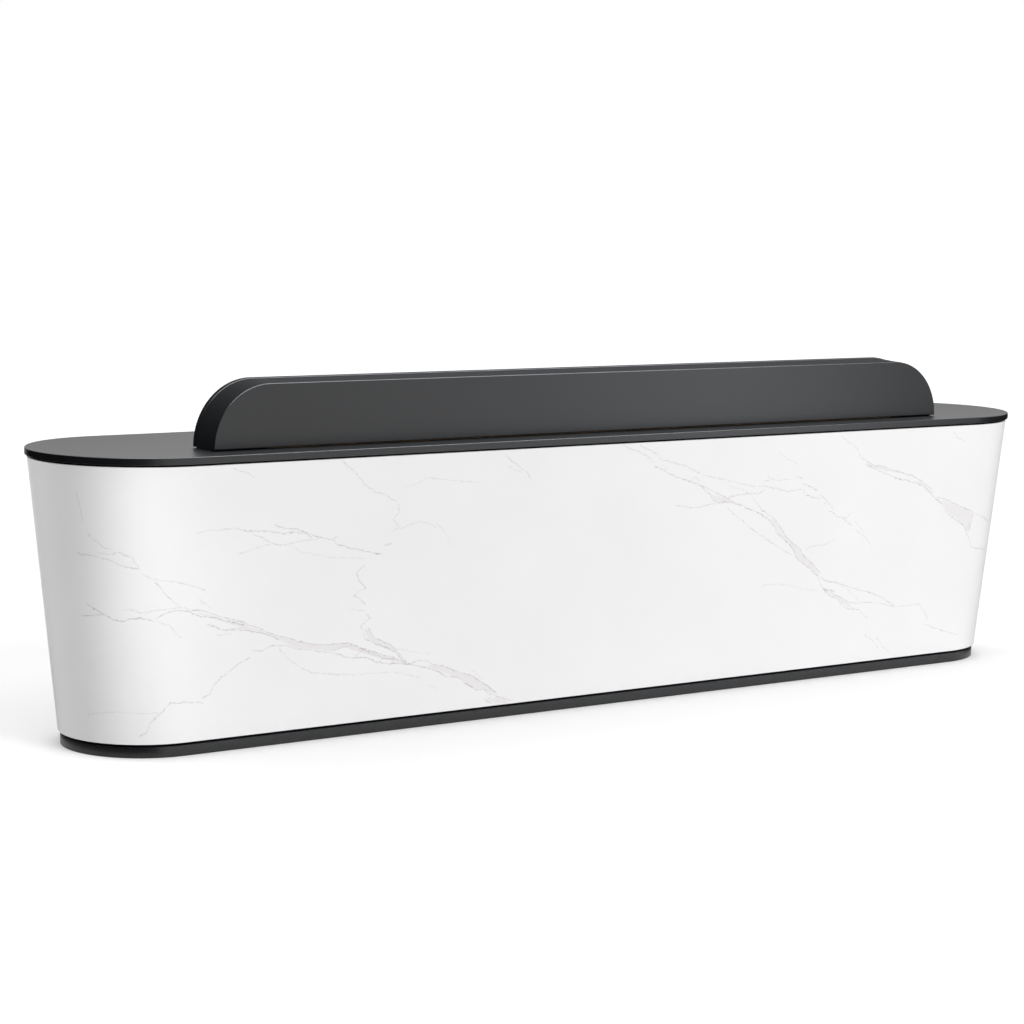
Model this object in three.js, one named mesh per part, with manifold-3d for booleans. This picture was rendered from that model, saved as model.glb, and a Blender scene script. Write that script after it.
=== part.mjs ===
// A reception desk: a long counter with round ends, a wall that leans out from its foot, a recessed
// plinth and a low screen on the worktop. The staff side has drawers, two knee spaces and a cupboard.
// Millimetres, +Z up. X runs along the desk, and visitors stand on the -Y side.
// The origin is on the floor, under the middle of the worktop.
import * as THREE from "three";
import { mergeVertices } from "three/addons/utils/BufferGeometryUtils.js";
import Module from "manifold-3d";

const wasm = await Module();
wasm.setup();

// Worktop
const TOP_LENGTH = 3200;
const TOP_DEPTH = 600;
const TOP_THICKNESS = 23;
const DESK_HEIGHT = 755;

// Leaning wall: insets are measured from the worktop's edge, thicknesses level with the floor
const WALL_TOP_INSET = 6;
const WALL_FOOT_INSET = 78;
const CLADDING_THICKNESS = 6;
const CORE_THICKNESS = 12;

// Plinth
const PLINTH_HEIGHT = 35;
const PLINTH_INSET = 84;
const PLINTH_THICKNESS = 18;

// Carcass
const BOARD_THICKNESS = 18;
const PEDESTAL_WIDTH = 450;
const CENTRE_GABLE_RECESS = 100;
const TOP_RAIL_HEIGHT = 40;
const KNEE_RAIL_HEIGHT = 60;
const FORMER_WIDTH = 60;
const SHELF_RECESS = 20;

// Screen on the worktop
const SCREEN_LENGTH = 2425;
const SCREEN_HEIGHT = 165;
const SCREEN_REAR_RISE = 8;
const SCREEN_THICKNESS = 115;
const SCREEN_SETBACK = 95;
const SCREEN_CORNER = 160;
const SCREEN_FOOT = 4;
const SCREEN_BOARD = 18;
const SCREEN_SKIN = 6;
const SCREEN_REVEAL = 1;
const SCREEN_RAIL_HEIGHT = 25;
const SCREEN_RIB_COUNT = 3;

// Drawer fronts and door
const FACE_RECESS = 2;
const FRONT_THICKNESS = 18;
const FRONT_GAP = 3;
const DRAWER_NAMES = ["bottom", "middle", "top"];
const DRAWER_SHARES = [2, 1, 1];

// Drawer boxes and runners
const DRAWER_WALL = 12;
const DRAWER_LIFT = 12;
const DRAWER_HEADROOM = 25;
const DRAWER_BACK_CLEARANCE = 15;
const RUNNER_WIDTH = 12.5;
const RUNNER_HEIGHT = 24;
const RUNNER_METAL = 2;
const RUNNER_PLAY = 0.5;

// Bar handles
const HANDLE_LENGTH = 140;
const HANDLE_PROJECTION = 30;
const HANDLE_BAR = 10;
const HANDLE_EDGE = 45;

// Locks
const LOCK_RADIUS = 8;
const LOCK_PROUD = 2;
const LOCK_PLAY = 0.5;
const LOCK_INSET = 30;

// Door hinges
const HINGE_HEIGHT = 66;
const HINGE_LEAF = 1.6;
const HINGE_LEAF_WIDTH = 26;
const HINGE_INSET = 70;
const KNUCKLE_RADIUS = 4.5;
const PIN_RADIUS = 2.5;
const PIN_PLAY = 0.4;

// Cable grommets
const GROMMET_SPACING = 1000;
const GROMMET_BEHIND_SCREEN = 106;
const GROMMET_HOLE = 30;
const GROMMET_SHELL = 4;
const GROMMET_LEDGE = 4;
const GROMMET_LEDGE_DEPTH = 3.5;
const GROMMET_FLANGE = 7;
const GROMMET_FLANGE_HEIGHT = 2.5;
const CAP_PLAY = 0.5;
const CAP_NOTCH_WIDTH = 18;
const CAP_NOTCH_DEPTH = 15;

// Gap between pieces that touch, and segments on half a circle
const FIT = 0.3;
const END_SEGMENTS = 48;
const SMALL_SEGMENTS = 16;

// Worked out from the sizes above
const endRadius = TOP_DEPTH / 2;
const endX = TOP_LENGTH / 2 - endRadius;
const wallFootZ = PLINTH_HEIGHT;
const wallTopZ = DESK_HEIGHT - TOP_THICKNESS;
const carcassTopZ = wallTopZ - FIT;
const wallHeight = carcassTopZ - wallFootZ;
const wallLean = (WALL_FOOT_INSET - WALL_TOP_INSET) / (wallTopZ - wallFootZ);
const baseTopZ = wallFootZ + BOARD_THICKNESS;
const plinthReach = endRadius - PLINTH_INSET;
const plinthBack = plinthReach - PLINTH_THICKNESS;
const plinthTopZ = PLINTH_HEIGHT - FIT;
const staffFaceY = endRadius - WALL_FOOT_INSET;
const frontFaceY = staffFaceY - FACE_RECESS;
const frontBackY = frontFaceY - FRONT_THICKNESS;
const pedestalCentreX = endX - PEDESTAL_WIDTH / 2;
const pedestalHalfWidth = PEDESTAL_WIDTH / 2 - BOARD_THICKNESS;
const innerGableX = endX - PEDESTAL_WIDTH;
const topRailZ = carcassTopZ - TOP_RAIL_HEIGHT;
const centreGableRearY = staffFaceY - CENTRE_GABLE_RECESS;
const screenFrontY = SCREEN_SETBACK - endRadius;
const screenRearY = screenFrontY + SCREEN_THICKNESS;
const screenFootZ = DESK_HEIGHT + FIT;
const screenPanelHeight = SCREEN_HEIGHT - FIT;
const screenCorner = Math.min(SCREEN_CORNER, screenPanelHeight - SCREEN_FOOT);
const grommetY = screenRearY + GROMMET_BEHIND_SCREEN;
const grommetBore = GROMMET_HOLE - FIT - GROMMET_SHELL;

// Distance from the desk's long centre line to each layer of the leaning wall at height z
const wallReach = (z) => endRadius - WALL_TOP_INSET - (wallTopZ - z) * wallLean;
const coreReach = (z) => wallReach(z) - CLADDING_THICKNESS - FIT;
const insideReach = (z) => coreReach(z) - CORE_THICKNESS - FIT;

// Finishes
const finish = (color, roughness, metalness = 0) =>
  new THREE.MeshStandardMaterial({ color, roughness, metalness });
const blackLaminate = finish(0x2e2f31, 0.42);
const marbleSheet = finish(0xf0f0ef, 0.25);
const plywood = finish(0xc9a877, 0.7);
const whiteMelamine = finish(0xe9e8e4, 0.5);
const greyDrawer = finish(0x9a9c9e, 0.45);
const zincSteel = finish(0xb4b7ba, 0.35, 1);
const blackMetal = finish(0x1b1c1e, 0.4, 0.6);
const blackPlastic = finish(0x222325, 0.5);

// Turns a profile drawn in (y, z) so that it is extruded along X
const ALONG_X = new THREE.Quaternion(0.5, 0.5, 0.5, 0.5);

function place(parent, name, geometry, material, x = 0, y = 0, z = 0) {
  const mesh = new THREE.Mesh(geometry, material);
  mesh.name = name;
  mesh.position.set(x, y, z);
  parent.add(mesh);
  return mesh;
}

function group(parent, x = 0, y = 0, z = 0) {
  const made = new THREE.Group();
  made.position.set(x, y, z);
  parent.add(made);
  return made;
}

// A box geometry between two corners
function block(x0, x1, y0, y1, z0, z1) {
  const box = new THREE.BoxGeometry(x1 - x0, y1 - y0, z1 - z0);
  return box.translate((x0 + x1) / 2, (y0 + y1) / 2, (z0 + z1) / 2);
}

function extrude(shape, depth) {
  return new THREE.ExtrudeGeometry(shape, { depth, bevelEnabled: false, curveSegments: END_SEGMENTS / 2 });
}

// An upright cylinder standing on z0
function post(radius, x, y, z0, z1) {
  const cylinder = new THREE.CylinderGeometry(radius, radius, z1 - z0, 2 * SMALL_SEGMENTS);
  return cylinder.rotateX(Math.PI / 2).translate(x, y, (z0 + z1) / 2);
}

function polygon(points) {
  return new THREE.Shape(points.map(([u, v]) => new THREE.Vector2(u, v)));
}

// A geometry as a solid for cutting and joining, and back again
function solid(geometry) {
  const bare = geometry.clone();
  bare.deleteAttribute("normal");
  bare.deleteAttribute("uv");
  const merged = mergeVertices(bare, 1e-4);
  const triVerts = new Uint32Array(merged.index.array);
  const vertProperties = merged.attributes.position.array;
  return new wasm.Manifold(new wasm.Mesh({ numProp: 3, vertProperties, triVerts }));
}

function surface(made) {
  const mesh = made.getMesh();
  const geometry = new THREE.BufferGeometry();
  geometry.setAttribute("position", new THREE.BufferAttribute(mesh.vertProperties, 3));
  geometry.setIndex(new THREE.BufferAttribute(mesh.triVerts, 1));
  geometry.computeVertexNormals();
  return geometry;
}

const join = (...pieces) => surface(pieces.map(solid).reduce((a, b) => a.add(b)));
const cut = (piece, ...tools) => surface(tools.map(solid).reduce((a, b) => a.subtract(b), solid(piece)));

// Plan of half a ring round an end of the desk, open towards the middle. Side is -1 at the left end.
function halfRing(side, outer, inner) {
  const shape = new THREE.Shape();
  const quarter = Math.PI / 2;
  shape.absarc(0, 0, outer, -quarter, quarter, side < 0);
  shape.absarc(0, 0, inner, quarter, -quarter, side > 0);
  return shape;
}

// Leans a shell outwards round its own upright axis, as the wall does
function leanOut(geometry) {
  const points = geometry.attributes.position;
  for (let i = 0; i < points.count; i++) {
    const radius = Math.hypot(points.getX(i), points.getY(i));
    const grown = (radius + points.getZ(i) * wallLean) / radius;
    points.setXY(i, points.getX(i) * grown, points.getY(i) * grown);
  }
  return geometry;
}

// Profile in (y, z) of a straight stretch of the wall's front, between two layers
function leaningProfile(outerReach, thickness) {
  return polygon([
    [-outerReach(wallFootZ), wallFootZ],
    [-outerReach(wallFootZ) + thickness, wallFootZ],
    [-outerReach(carcassTopZ) + thickness, carcassTopZ],
    [-outerReach(carcassTopZ), carcassTopZ],
  ]);
}

// Recessed black plinth: a straight front, two round ends and a strip under each pedestal's rear
function addPlinth(desk) {
  const plinth = group(desk);
  const front = block(FIT - endX, endX - FIT, -plinthReach, -plinthBack, 0, plinthTopZ);
  place(plinth, "plinth_front", front, blackLaminate);
  for (const [name, side] of [["left", -1], ["right", 1]]) {
    const ring = extrude(halfRing(side, plinthReach, plinthBack), plinthTopZ);
    place(plinth, `plinth_${name}_end`, ring, blackLaminate, side * endX);
    const length = PEDESTAL_WIDTH - BOARD_THICKNESS - 2 * FIT;
    const rear = block(-length / 2, length / 2, plinthBack, plinthReach, 0, plinthTopZ);
    const rearX = side * (endX - FIT - length / 2);
    place(plinth, `plinth_${name}_rear`, rear, blackLaminate, rearX);
  }
}

// Core and marble-look cladding, each in a flat front and two bent ends
function addWall(desk) {
  const wall = group(desk);
  const frontLength = 2 * (endX - FIT);
  for (const [name, reach, thickness, frontFinish, endFinish] of [
    ["cladding", wallReach, CLADDING_THICKNESS, marbleSheet, marbleSheet],
    ["core", coreReach, CORE_THICKNESS, whiteMelamine, plywood],
  ]) {
    const flat = extrude(leaningProfile(reach, thickness), frontLength);
    place(wall, `${name}_front`, flat, frontFinish, FIT - endX).quaternion.copy(ALONG_X);
    for (const [end, side] of [["left", -1], ["right", 1]]) {
      const outer = reach(wallFootZ);
      const ring = leanOut(extrude(halfRing(side, outer, outer - thickness), wallHeight));
      place(wall, `${name}_${end}_end`, ring, endFinish, side * endX, 0, wallFootZ);
    }
  }
}

// Upright board across the desk, drawn in (y, z), from x towards +X
function addGable(parent, name, x, thickness, points) {
  const board = extrude(polygon(points), thickness);
  place(parent, name, board, whiteMelamine, x).quaternion.copy(ALONG_X);
}

// Base panels, gables, rails and the formers that hold the bent ends
function addCarcass(desk) {
  const carcass = group(desk);
  const gableFootZ = baseTopZ + FIT;
  // Front edge of a gable that stands on the floor: behind the plinth, then along the inside of the wall
  const standingFront = [
    [FIT - plinthBack, 0],
    [FIT - plinthBack, wallFootZ],
    [-insideReach(wallFootZ), wallFootZ],
    [-insideReach(carcassTopZ), carcassTopZ],
  ];
  for (const [name, side] of [["left", -1], ["right", 1]]) {
    // The base is straight-sided, so it takes the wall's reach at its underside
    const baseReach = insideReach(wallFootZ);
    const baseLength = PEDESTAL_WIDTH - BOARD_THICKNESS - FIT;
    const base = new THREE.Shape();
    base.absarc(0, 0, baseReach, -Math.PI / 2, Math.PI / 2, side < 0);
    base.lineTo(-side * FIT, baseReach);
    base.lineTo(-side * FIT, staffFaceY);
    base.lineTo(-side * baseLength, staffFaceY);
    base.lineTo(-side * baseLength, -baseReach);
    const basePanel = extrude(base, BOARD_THICKNESS);
    place(carcass, `${name}_base_panel`, basePanel, whiteMelamine, side * endX, 0, wallFootZ);

    const formerZ = (baseTopZ + carcassTopZ - BOARD_THICKNESS) / 2;
    const formerReach = insideReach(formerZ);
    const former = extrude(halfRing(side, formerReach, formerReach - FORMER_WIDTH), BOARD_THICKNESS);
    place(carcass, `${name}_end_former`, former, plywood, side * endX, 0, formerZ);

    const outerGableX = side > 0 ? endX - BOARD_THICKNESS : FIT - endX;
    const outerGable = [
      [-insideReach(gableFootZ), gableFootZ],
      [wallReach(gableFootZ), gableFootZ],
      [wallReach(carcassTopZ), carcassTopZ],
      [-insideReach(carcassTopZ), carcassTopZ],
    ];
    addGable(carcass, `${name}_outer_gable`, outerGableX, BOARD_THICKNESS - FIT, outerGable);

    const innerX = side > 0 ? innerGableX : -innerGableX - BOARD_THICKNESS;
    const innerGable = [...standingFront, [staffFaceY, carcassTopZ], [staffFaceY, 0]];
    addGable(carcass, `${name}_inner_gable`, innerX, BOARD_THICKNESS, innerGable);

    const railHalf = pedestalHalfWidth - FIT;
    const topRail = block(-railHalf, railHalf, frontBackY, frontFaceY, topRailZ, carcassTopZ);
    place(carcass, `${name}_top_rail`, topRail, whiteMelamine, side * pedestalCentreX);

    const kneeStart = BOARD_THICKNESS / 2 + FIT;
    const kneeHalf = (innerGableX - FIT - kneeStart) / 2;
    const kneeZ = carcassTopZ - KNEE_RAIL_HEIGHT;
    const kneeY = centreGableRearY - BOARD_THICKNESS;
    const kneeRail = block(-kneeHalf, kneeHalf, kneeY, centreGableRearY, kneeZ, carcassTopZ);
    place(carcass, `${name}_knee_rail`, kneeRail, whiteMelamine, side * (kneeStart + kneeHalf));
  }
  const centreGable = [...standingFront, [centreGableRearY, carcassTopZ], [centreGableRearY, 0]];
  addGable(carcass, "centre_gable", -BOARD_THICKNESS / 2, BOARD_THICKNESS, centreGable);
}

// Worktop with a hole for each grommet
function addWorktop(desk) {
  const outline = new THREE.Shape();
  outline.absarc(endX, 0, endRadius, -Math.PI / 2, Math.PI / 2);
  outline.absarc(-endX, 0, endRadius, Math.PI / 2, (3 * Math.PI) / 2);
  for (const side of [-1, 1]) {
    const hole = new THREE.Path();
    hole.absarc((side * GROMMET_SPACING) / 2, grommetY, GROMMET_HOLE, 0, 2 * Math.PI);
    outline.holes.push(hole);
  }
  place(desk, "worktop", extrude(outline, TOP_THICKNESS), blackLaminate, 0, 0, wallTopZ);
}

// Grommet sleeve with a seat in its mouth, and a cap with a cable notch that turns on the seat
function addGrommets(desk) {
  const sleeve = GROMMET_HOLE - FIT;
  const seatBore = grommetBore - GROMMET_LEDGE;
  const rim = GROMMET_HOLE + GROMMET_FLANGE;
  const profile = [
    [seatBore, -TOP_THICKNESS],
    [sleeve, -TOP_THICKNESS],
    [sleeve, FIT],
    [rim, FIT],
    [rim, GROMMET_FLANGE_HEIGHT],
    [grommetBore, GROMMET_FLANGE_HEIGHT],
    [grommetBore, -GROMMET_LEDGE_DEPTH],
    [seatBore, -GROMMET_LEDGE_DEPTH],
    [seatBore, -TOP_THICKNESS],
  ].map(([r, z]) => new THREE.Vector2(r, z));
  const capRadius = grommetBore - CAP_PLAY;
  const capFootZ = FIT - GROMMET_LEDGE_DEPTH;
  const capHeight = GROMMET_FLANGE_HEIGHT - capFootZ;
  for (const [name, side] of [["left", -1], ["right", 1]]) {
    const seat = group(desk, (side * GROMMET_SPACING) / 2, grommetY, DESK_HEIGHT);
    const ring = new THREE.LatheGeometry(profile, 2 * SMALL_SEGMENTS).rotateX(Math.PI / 2);
    place(seat, `${name}_grommet`, ring, blackPlastic);
    const disc = post(capRadius, 0, 0, capFootZ, GROMMET_FLANGE_HEIGHT);
    const half = CAP_NOTCH_WIDTH / 2;
    const notchFloor = capRadius - CAP_NOTCH_DEPTH;
    const notch = block(-half, half, notchFloor, rim, capFootZ - capHeight, rim);
    place(seat, `${name}_grommet_cap`, cut(disc, notch), blackPlastic);
  }
}

// Outline of the screen with its round upper corners, from the lower right corner to the lower left
function screenArch(path, halfLength, height, corner) {
  path.absarc(halfLength - corner, height - corner, corner, 0, Math.PI / 2);
  path.absarc(corner - halfLength, height - corner, corner, Math.PI / 2, Math.PI);
}

// Raises a piece of the screen towards the rear in proportion to its height, so that the top slopes
function slopeUp(geometry) {
  const points = geometry.attributes.position;
  for (let i = 0; i < points.count; i++) {
    const depth = (points.getY(i) - screenFrontY) / SCREEN_THICKNESS;
    const share = points.getZ(i) / screenPanelHeight;
    points.setZ(i, points.getZ(i) + depth * share * SCREEN_REAR_RISE);
  }
  return geometry;
}

// A piece of the screen drawn in (x, z), extruded forwards from its rear face
function screenPiece(shape, depth, rearY) {
  return slopeUp(extrude(shape, depth).rotateX(Math.PI / 2).translate(0, rearY, 0));
}

// Low screen: two boards, a bent skin over their edges, a rail on the worktop and ribs on the rail
function addScreen(desk) {
  const screen = group(desk, 0, 0, screenFootZ);
  const half = SCREEN_LENGTH / 2;
  const board = new THREE.Shape();
  board.moveTo(-half, 0);
  board.lineTo(half, 0);
  screenArch(board, half, screenPanelHeight, screenCorner);
  for (const [name, rearY] of [["front", screenFrontY + SCREEN_BOARD], ["rear", screenRearY]]) {
    const panel = screenPiece(board, SCREEN_BOARD, rearY);
    place(screen, `screen_${name}_panel`, panel, blackLaminate);
  }

  const skinHalf = half - SCREEN_REVEAL;
  const skinHeight = screenPanelHeight - SCREEN_REVEAL;
  const skinCorner = screenCorner - SCREEN_REVEAL;
  const innerHalf = skinHalf - SCREEN_SKIN;
  const innerHeight = skinHeight - SCREEN_SKIN;
  const innerCorner = skinCorner - SCREEN_SKIN;
  const innerX = innerHalf - innerCorner;
  const innerZ = innerHeight - innerCorner;
  const skin = new THREE.Shape();
  skin.moveTo(skinHalf, 0);
  screenArch(skin, skinHalf, skinHeight, skinCorner);
  skin.lineTo(-skinHalf, 0);
  skin.lineTo(-innerHalf, 0);
  skin.absarc(-innerX, innerZ, innerCorner, Math.PI, Math.PI / 2, true);
  skin.absarc(innerX, innerZ, innerCorner, Math.PI / 2, 0, true);
  skin.lineTo(innerHalf, 0);
  const hollowFrontY = screenFrontY + SCREEN_BOARD + FIT;
  const hollowRearY = screenRearY - SCREEN_BOARD - FIT;
  const wrap = screenPiece(skin, hollowRearY - hollowFrontY, hollowRearY);
  place(screen, "screen_top_wrap", wrap, blackLaminate);

  const railHalf = half - screenCorner;
  const rail = block(-railHalf, railHalf, hollowFrontY, hollowRearY, 0, SCREEN_RAIL_HEIGHT);
  place(screen, "screen_base_rail", slopeUp(rail), plywood);
  const ribHalf = BOARD_THICKNESS / 2;
  const ribFootZ = SCREEN_RAIL_HEIGHT + FIT;
  const ribSpan = (2 * (railHalf - ribHalf)) / (SCREEN_RIB_COUNT - 1);
  for (let i = 0; i < SCREEN_RIB_COUNT; i++) {
    const rib = block(-ribHalf, ribHalf, hollowFrontY, hollowRearY, ribFootZ, innerHeight - FIT);
    place(screen, `screen_rib_${i + 1}`, slopeUp(rib), plywood, ribHalf - railHalf + i * ribSpan);
  }
}

// Bar handle lying along X, with its two feet on a front's face
function barHandle() {
  const half = HANDLE_LENGTH / 2;
  const foot = HANDLE_BAR;
  const outline = polygon([
    [-half, FIT],
    [foot - half, FIT],
    [foot - half, HANDLE_PROJECTION - HANDLE_BAR],
    [half - foot, HANDLE_PROJECTION - HANDLE_BAR],
    [half - foot, FIT],
    [half, FIT],
    [half, HANDLE_PROJECTION],
    [-half, HANDLE_PROJECTION],
  ]);
  return extrude(outline, HANDLE_BAR).translate(0, 0, -HANDLE_BAR / 2);
}

// Lock barrel across a front, level with its back and a little proud of its face
function lockBarrel() {
  return post(LOCK_RADIUS, 0, 0, FIT - FRONT_THICKNESS, LOCK_PROUD).rotateX(-Math.PI / 2);
}

// Bore for a lock, running out of both sides of a front
function lockBore(x, z) {
  const bore = post(LOCK_RADIUS + LOCK_PLAY, 0, 0, -2 * FRONT_THICKNESS, FRONT_THICKNESS);
  return bore.rotateX(-Math.PI / 2).translate(x, 0, z);
}

// Front board standing on the origin, with its face at y = 0
function frontBoard(width, height) {
  return block(-width / 2, width / 2, -FRONT_THICKNESS, 0, 0, height);
}

// Drawers in the left pedestal: front, box with side strips, handle and a channel on each gable
function addDrawers(desk) {
  const stackFootZ = baseTopZ + FRONT_GAP;
  const shares = DRAWER_SHARES.reduce((a, b) => a + b);
  const shareHeight = (topRailZ - stackFootZ - DRAWER_SHARES.length * FRONT_GAP) / shares;
  const frontWidth = 2 * (pedestalHalfWidth - FRONT_GAP);
  const channelX = pedestalHalfWidth - FIT;
  const boxHalf = channelX - RUNNER_WIDTH - RUNNER_PLAY;
  const stripEnd = channelX - RUNNER_METAL - RUNNER_PLAY;
  const boxFrontY = -FRONT_THICKNESS - FIT;
  const boxBackY = DRAWER_BACK_CLEARANCE - insideReach(baseTopZ) - frontFaceY;
  const channelInside = RUNNER_HEIGHT / 2 - RUNNER_METAL;
  const stripHalf = channelInside - RUNNER_PLAY;
  let footZ = stackFootZ;
  DRAWER_NAMES.forEach((name, i) => {
    const height = DRAWER_SHARES[i] * shareHeight;
    const drawer = group(desk, -pedestalCentreX, frontFaceY, footZ);
    const boxTopZ = height - DRAWER_HEADROOM;
    const runnerZ = (DRAWER_LIFT + boxTopZ) / 2;

    const isTop = i === DRAWER_NAMES.length - 1;
    const lockX = frontWidth / 2 - LOCK_INSET;
    const lockZ = height - LOCK_INSET;
    const front = frontBoard(frontWidth, height);
    const bored = isTop ? cut(front, lockBore(lockX, lockZ)) : front;
    place(drawer, `drawer_${name}_front`, bored, whiteMelamine);
    if (isTop) {
      place(drawer, "drawer_lock", lockBarrel(), zincSteel, lockX, 0, lockZ);
    }
    place(drawer, `drawer_${name}_handle`, barHandle(), blackMetal, 0, 0, height / 2);

    const shell = block(-boxHalf, boxHalf, boxBackY, boxFrontY, DRAWER_LIFT, boxTopZ);
    const hollow = block(
      DRAWER_WALL - boxHalf,
      boxHalf - DRAWER_WALL,
      boxBackY + DRAWER_WALL,
      boxFrontY - DRAWER_WALL,
      DRAWER_LIFT + DRAWER_WALL,
      height,
    );
    const stripZ = [runnerZ - stripHalf, runnerZ + stripHalf];
    const rightStrip = block(boxHalf - DRAWER_WALL, stripEnd, boxBackY, boxFrontY, ...stripZ);
    const leftStrip = block(-stripEnd, DRAWER_WALL - boxHalf, boxBackY, boxFrontY, ...stripZ);
    const box = cut(join(shell, rightStrip, leftStrip), hollow);
    place(drawer, `drawer_${name}_box`, box, greyDrawer);

    // Channel in (x, z), its web on the right-hand gable and its open side to the box
    const high = RUNNER_HEIGHT / 2;
    const lip = channelX - RUNNER_WIDTH;
    const web = channelX - RUNNER_METAL;
    const channel = [
      [lip, -high], [channelX, -high], [channelX, high], [lip, high],
      [lip, channelInside], [web, channelInside], [web, -channelInside], [lip, -channelInside],
    ];
    const fixed = group(desk, -pedestalCentreX, frontFaceY + boxFrontY, footZ + runnerZ);
    for (const [side, sign] of [["left", -1], ["right", 1]]) {
      const section = polygon(channel.map(([x, z]) => [sign * x, z]));
      const runner = extrude(section, boxFrontY - boxBackY).rotateX(Math.PI / 2);
      place(fixed, `drawer_${name}_runner_${side}`, runner, zincSteel);
    }
    footZ += height + FRONT_GAP;
  });
}

// Hinge leaf on the gable, with the middle knuckle and the pin. The pin's axis is the origin.
function gableLeaf(leafX) {
  const third = HINGE_HEIGHT / 3;
  const clearY = -KNUCKLE_RADIUS - FIT;
  const plate = block(leafX - HINGE_LEAF, leafX, clearY - FRONT_THICKNESS, clearY, 0, HINGE_HEIGHT);
  const neck = block(leafX - HINGE_LEAF, leafX, clearY - HINGE_LEAF, 0, third + FIT, 2 * third - FIT);
  const knuckle = post(KNUCKLE_RADIUS, 0, 0, third + FIT, 2 * third - FIT);
  return join(plate, neck, knuckle, post(PIN_RADIUS, 0, 0, 0, HINGE_HEIGHT));
}

// Hinge leaf on the door's face, with the two outer knuckles and their bore
function doorLeaf() {
  const third = HINGE_HEIGHT / 3;
  const plateY = [-KNUCKLE_RADIUS, HINGE_LEAF - KNUCKLE_RADIUS];
  const clearX = -KNUCKLE_RADIUS - FIT;
  const pieces = [block(-HINGE_LEAF_WIDTH, clearX, ...plateY, 0, HINGE_HEIGHT)];
  for (const footZ of [0, 2 * third]) {
    pieces.push(block(clearX - HINGE_LEAF, 0, ...plateY, footZ, footZ + third));
    pieces.push(post(KNUCKLE_RADIUS, 0, 0, footZ, footZ + third));
  }
  const bore = post(PIN_RADIUS + PIN_PLAY, 0, 0, -HINGE_HEIGHT, 2 * HINGE_HEIGHT);
  return cut(join(...pieces), bore);
}

// Cupboard in the right pedestal: shelf, door, handle, lock and two hinges on the outer gable
function addCupboard(desk) {
  const footZ = baseTopZ + FRONT_GAP;
  const height = topRailZ - FRONT_GAP - footZ;
  const width = 2 * (pedestalHalfWidth - FRONT_GAP);

  const shelfZ = (baseTopZ + topRailZ) / 2;
  const shelfHalf = pedestalHalfWidth - FIT;
  const shelfRearY = frontBackY - SHELF_RECESS;
  const shelfZs = [shelfZ, shelfZ + BOARD_THICKNESS];
  const shelf = block(-shelfHalf, shelfHalf, -insideReach(shelfZ), shelfRearY, ...shelfZs);
  place(desk, "cupboard_shelf", shelf, whiteMelamine, pedestalCentreX);

  const cupboard = group(desk, pedestalCentreX, frontFaceY, footZ);
  const lockX = LOCK_INSET - width / 2;
  const lockZ = height - LOCK_INSET;
  const panel = cut(frontBoard(width, height), lockBore(lockX, lockZ));
  place(cupboard, "door_panel", panel, whiteMelamine);
  place(cupboard, "door_lock", lockBarrel(), zincSteel, lockX, 0, lockZ);
  const handleZ = lockZ - LOCK_INSET - HANDLE_LENGTH / 2;
  const handle = place(cupboard, "door_handle", barHandle(), blackMetal);
  handle.position.set(HANDLE_EDGE - width / 2, 0, handleZ);
  handle.rotation.y = Math.PI / 2;

  const pinX = pedestalHalfWidth - FIT - KNUCKLE_RADIUS;
  const pinY = FIT + KNUCKLE_RADIUS;
  const hingeZs = { lower: HINGE_INSET, upper: height - HINGE_INSET - HINGE_HEIGHT };
  for (const [name, hingeZ] of Object.entries(hingeZs)) {
    place(cupboard, `hinge_${name}_gable_leaf`, gableLeaf(KNUCKLE_RADIUS), zincSteel, pinX, pinY, hingeZ);
    place(cupboard, `hinge_${name}_door_leaf`, doorLeaf(), zincSteel, pinX, pinY, hingeZ);
  }
}

const desk = new THREE.Group();
addPlinth(desk);
addWall(desk);
addCarcass(desk);
addWorktop(desk);
addGrommets(desk);
addScreen(desk);
addDrawers(desk);
addCupboard(desk);

export default desk;
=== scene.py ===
import math

import bmesh
import bpy
from mathutils import Matrix, Vector


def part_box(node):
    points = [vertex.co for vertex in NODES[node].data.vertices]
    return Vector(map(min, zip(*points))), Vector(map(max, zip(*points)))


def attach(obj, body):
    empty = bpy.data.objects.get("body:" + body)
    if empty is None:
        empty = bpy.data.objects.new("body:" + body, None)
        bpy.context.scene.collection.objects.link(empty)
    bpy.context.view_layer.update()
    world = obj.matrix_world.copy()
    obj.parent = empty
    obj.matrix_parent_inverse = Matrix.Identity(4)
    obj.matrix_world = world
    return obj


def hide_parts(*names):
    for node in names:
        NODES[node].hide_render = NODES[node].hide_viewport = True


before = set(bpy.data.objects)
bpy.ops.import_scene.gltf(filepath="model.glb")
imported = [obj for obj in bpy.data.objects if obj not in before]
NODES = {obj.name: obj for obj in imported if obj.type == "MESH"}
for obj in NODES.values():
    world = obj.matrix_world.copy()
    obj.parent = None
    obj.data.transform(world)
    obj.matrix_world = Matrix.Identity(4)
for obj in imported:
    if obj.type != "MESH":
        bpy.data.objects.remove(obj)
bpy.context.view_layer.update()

bl_info = {
    "name": "Reception desk",
    "version": (1, 0, 0),
    "blender": (4, 5, 0),
    "location": "3D View > Sidebar > Reception desk",
    "description": "Dresses a round-ended reception desk with marble-look cladding and a black worktop and screen",
    "category": "Object",
}

MM = 0.001

# Places of the desk, read from the frame in metres
TOP_LOW, TOP_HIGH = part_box("worktop")
END_RADIUS = TOP_HIGH.y
STRAIGHT_HALF = TOP_HIGH.x - END_RADIUS
SHEET_LOW, SHEET_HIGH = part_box("cladding_front")

# Steps in a half-round end, in a screen corner, in a rounded arris and round a small turned piece
END_STEPS = 96
CORNER_STEPS = 48
ARRIS_STEPS = 4
TURN_STEPS = 64

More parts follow.
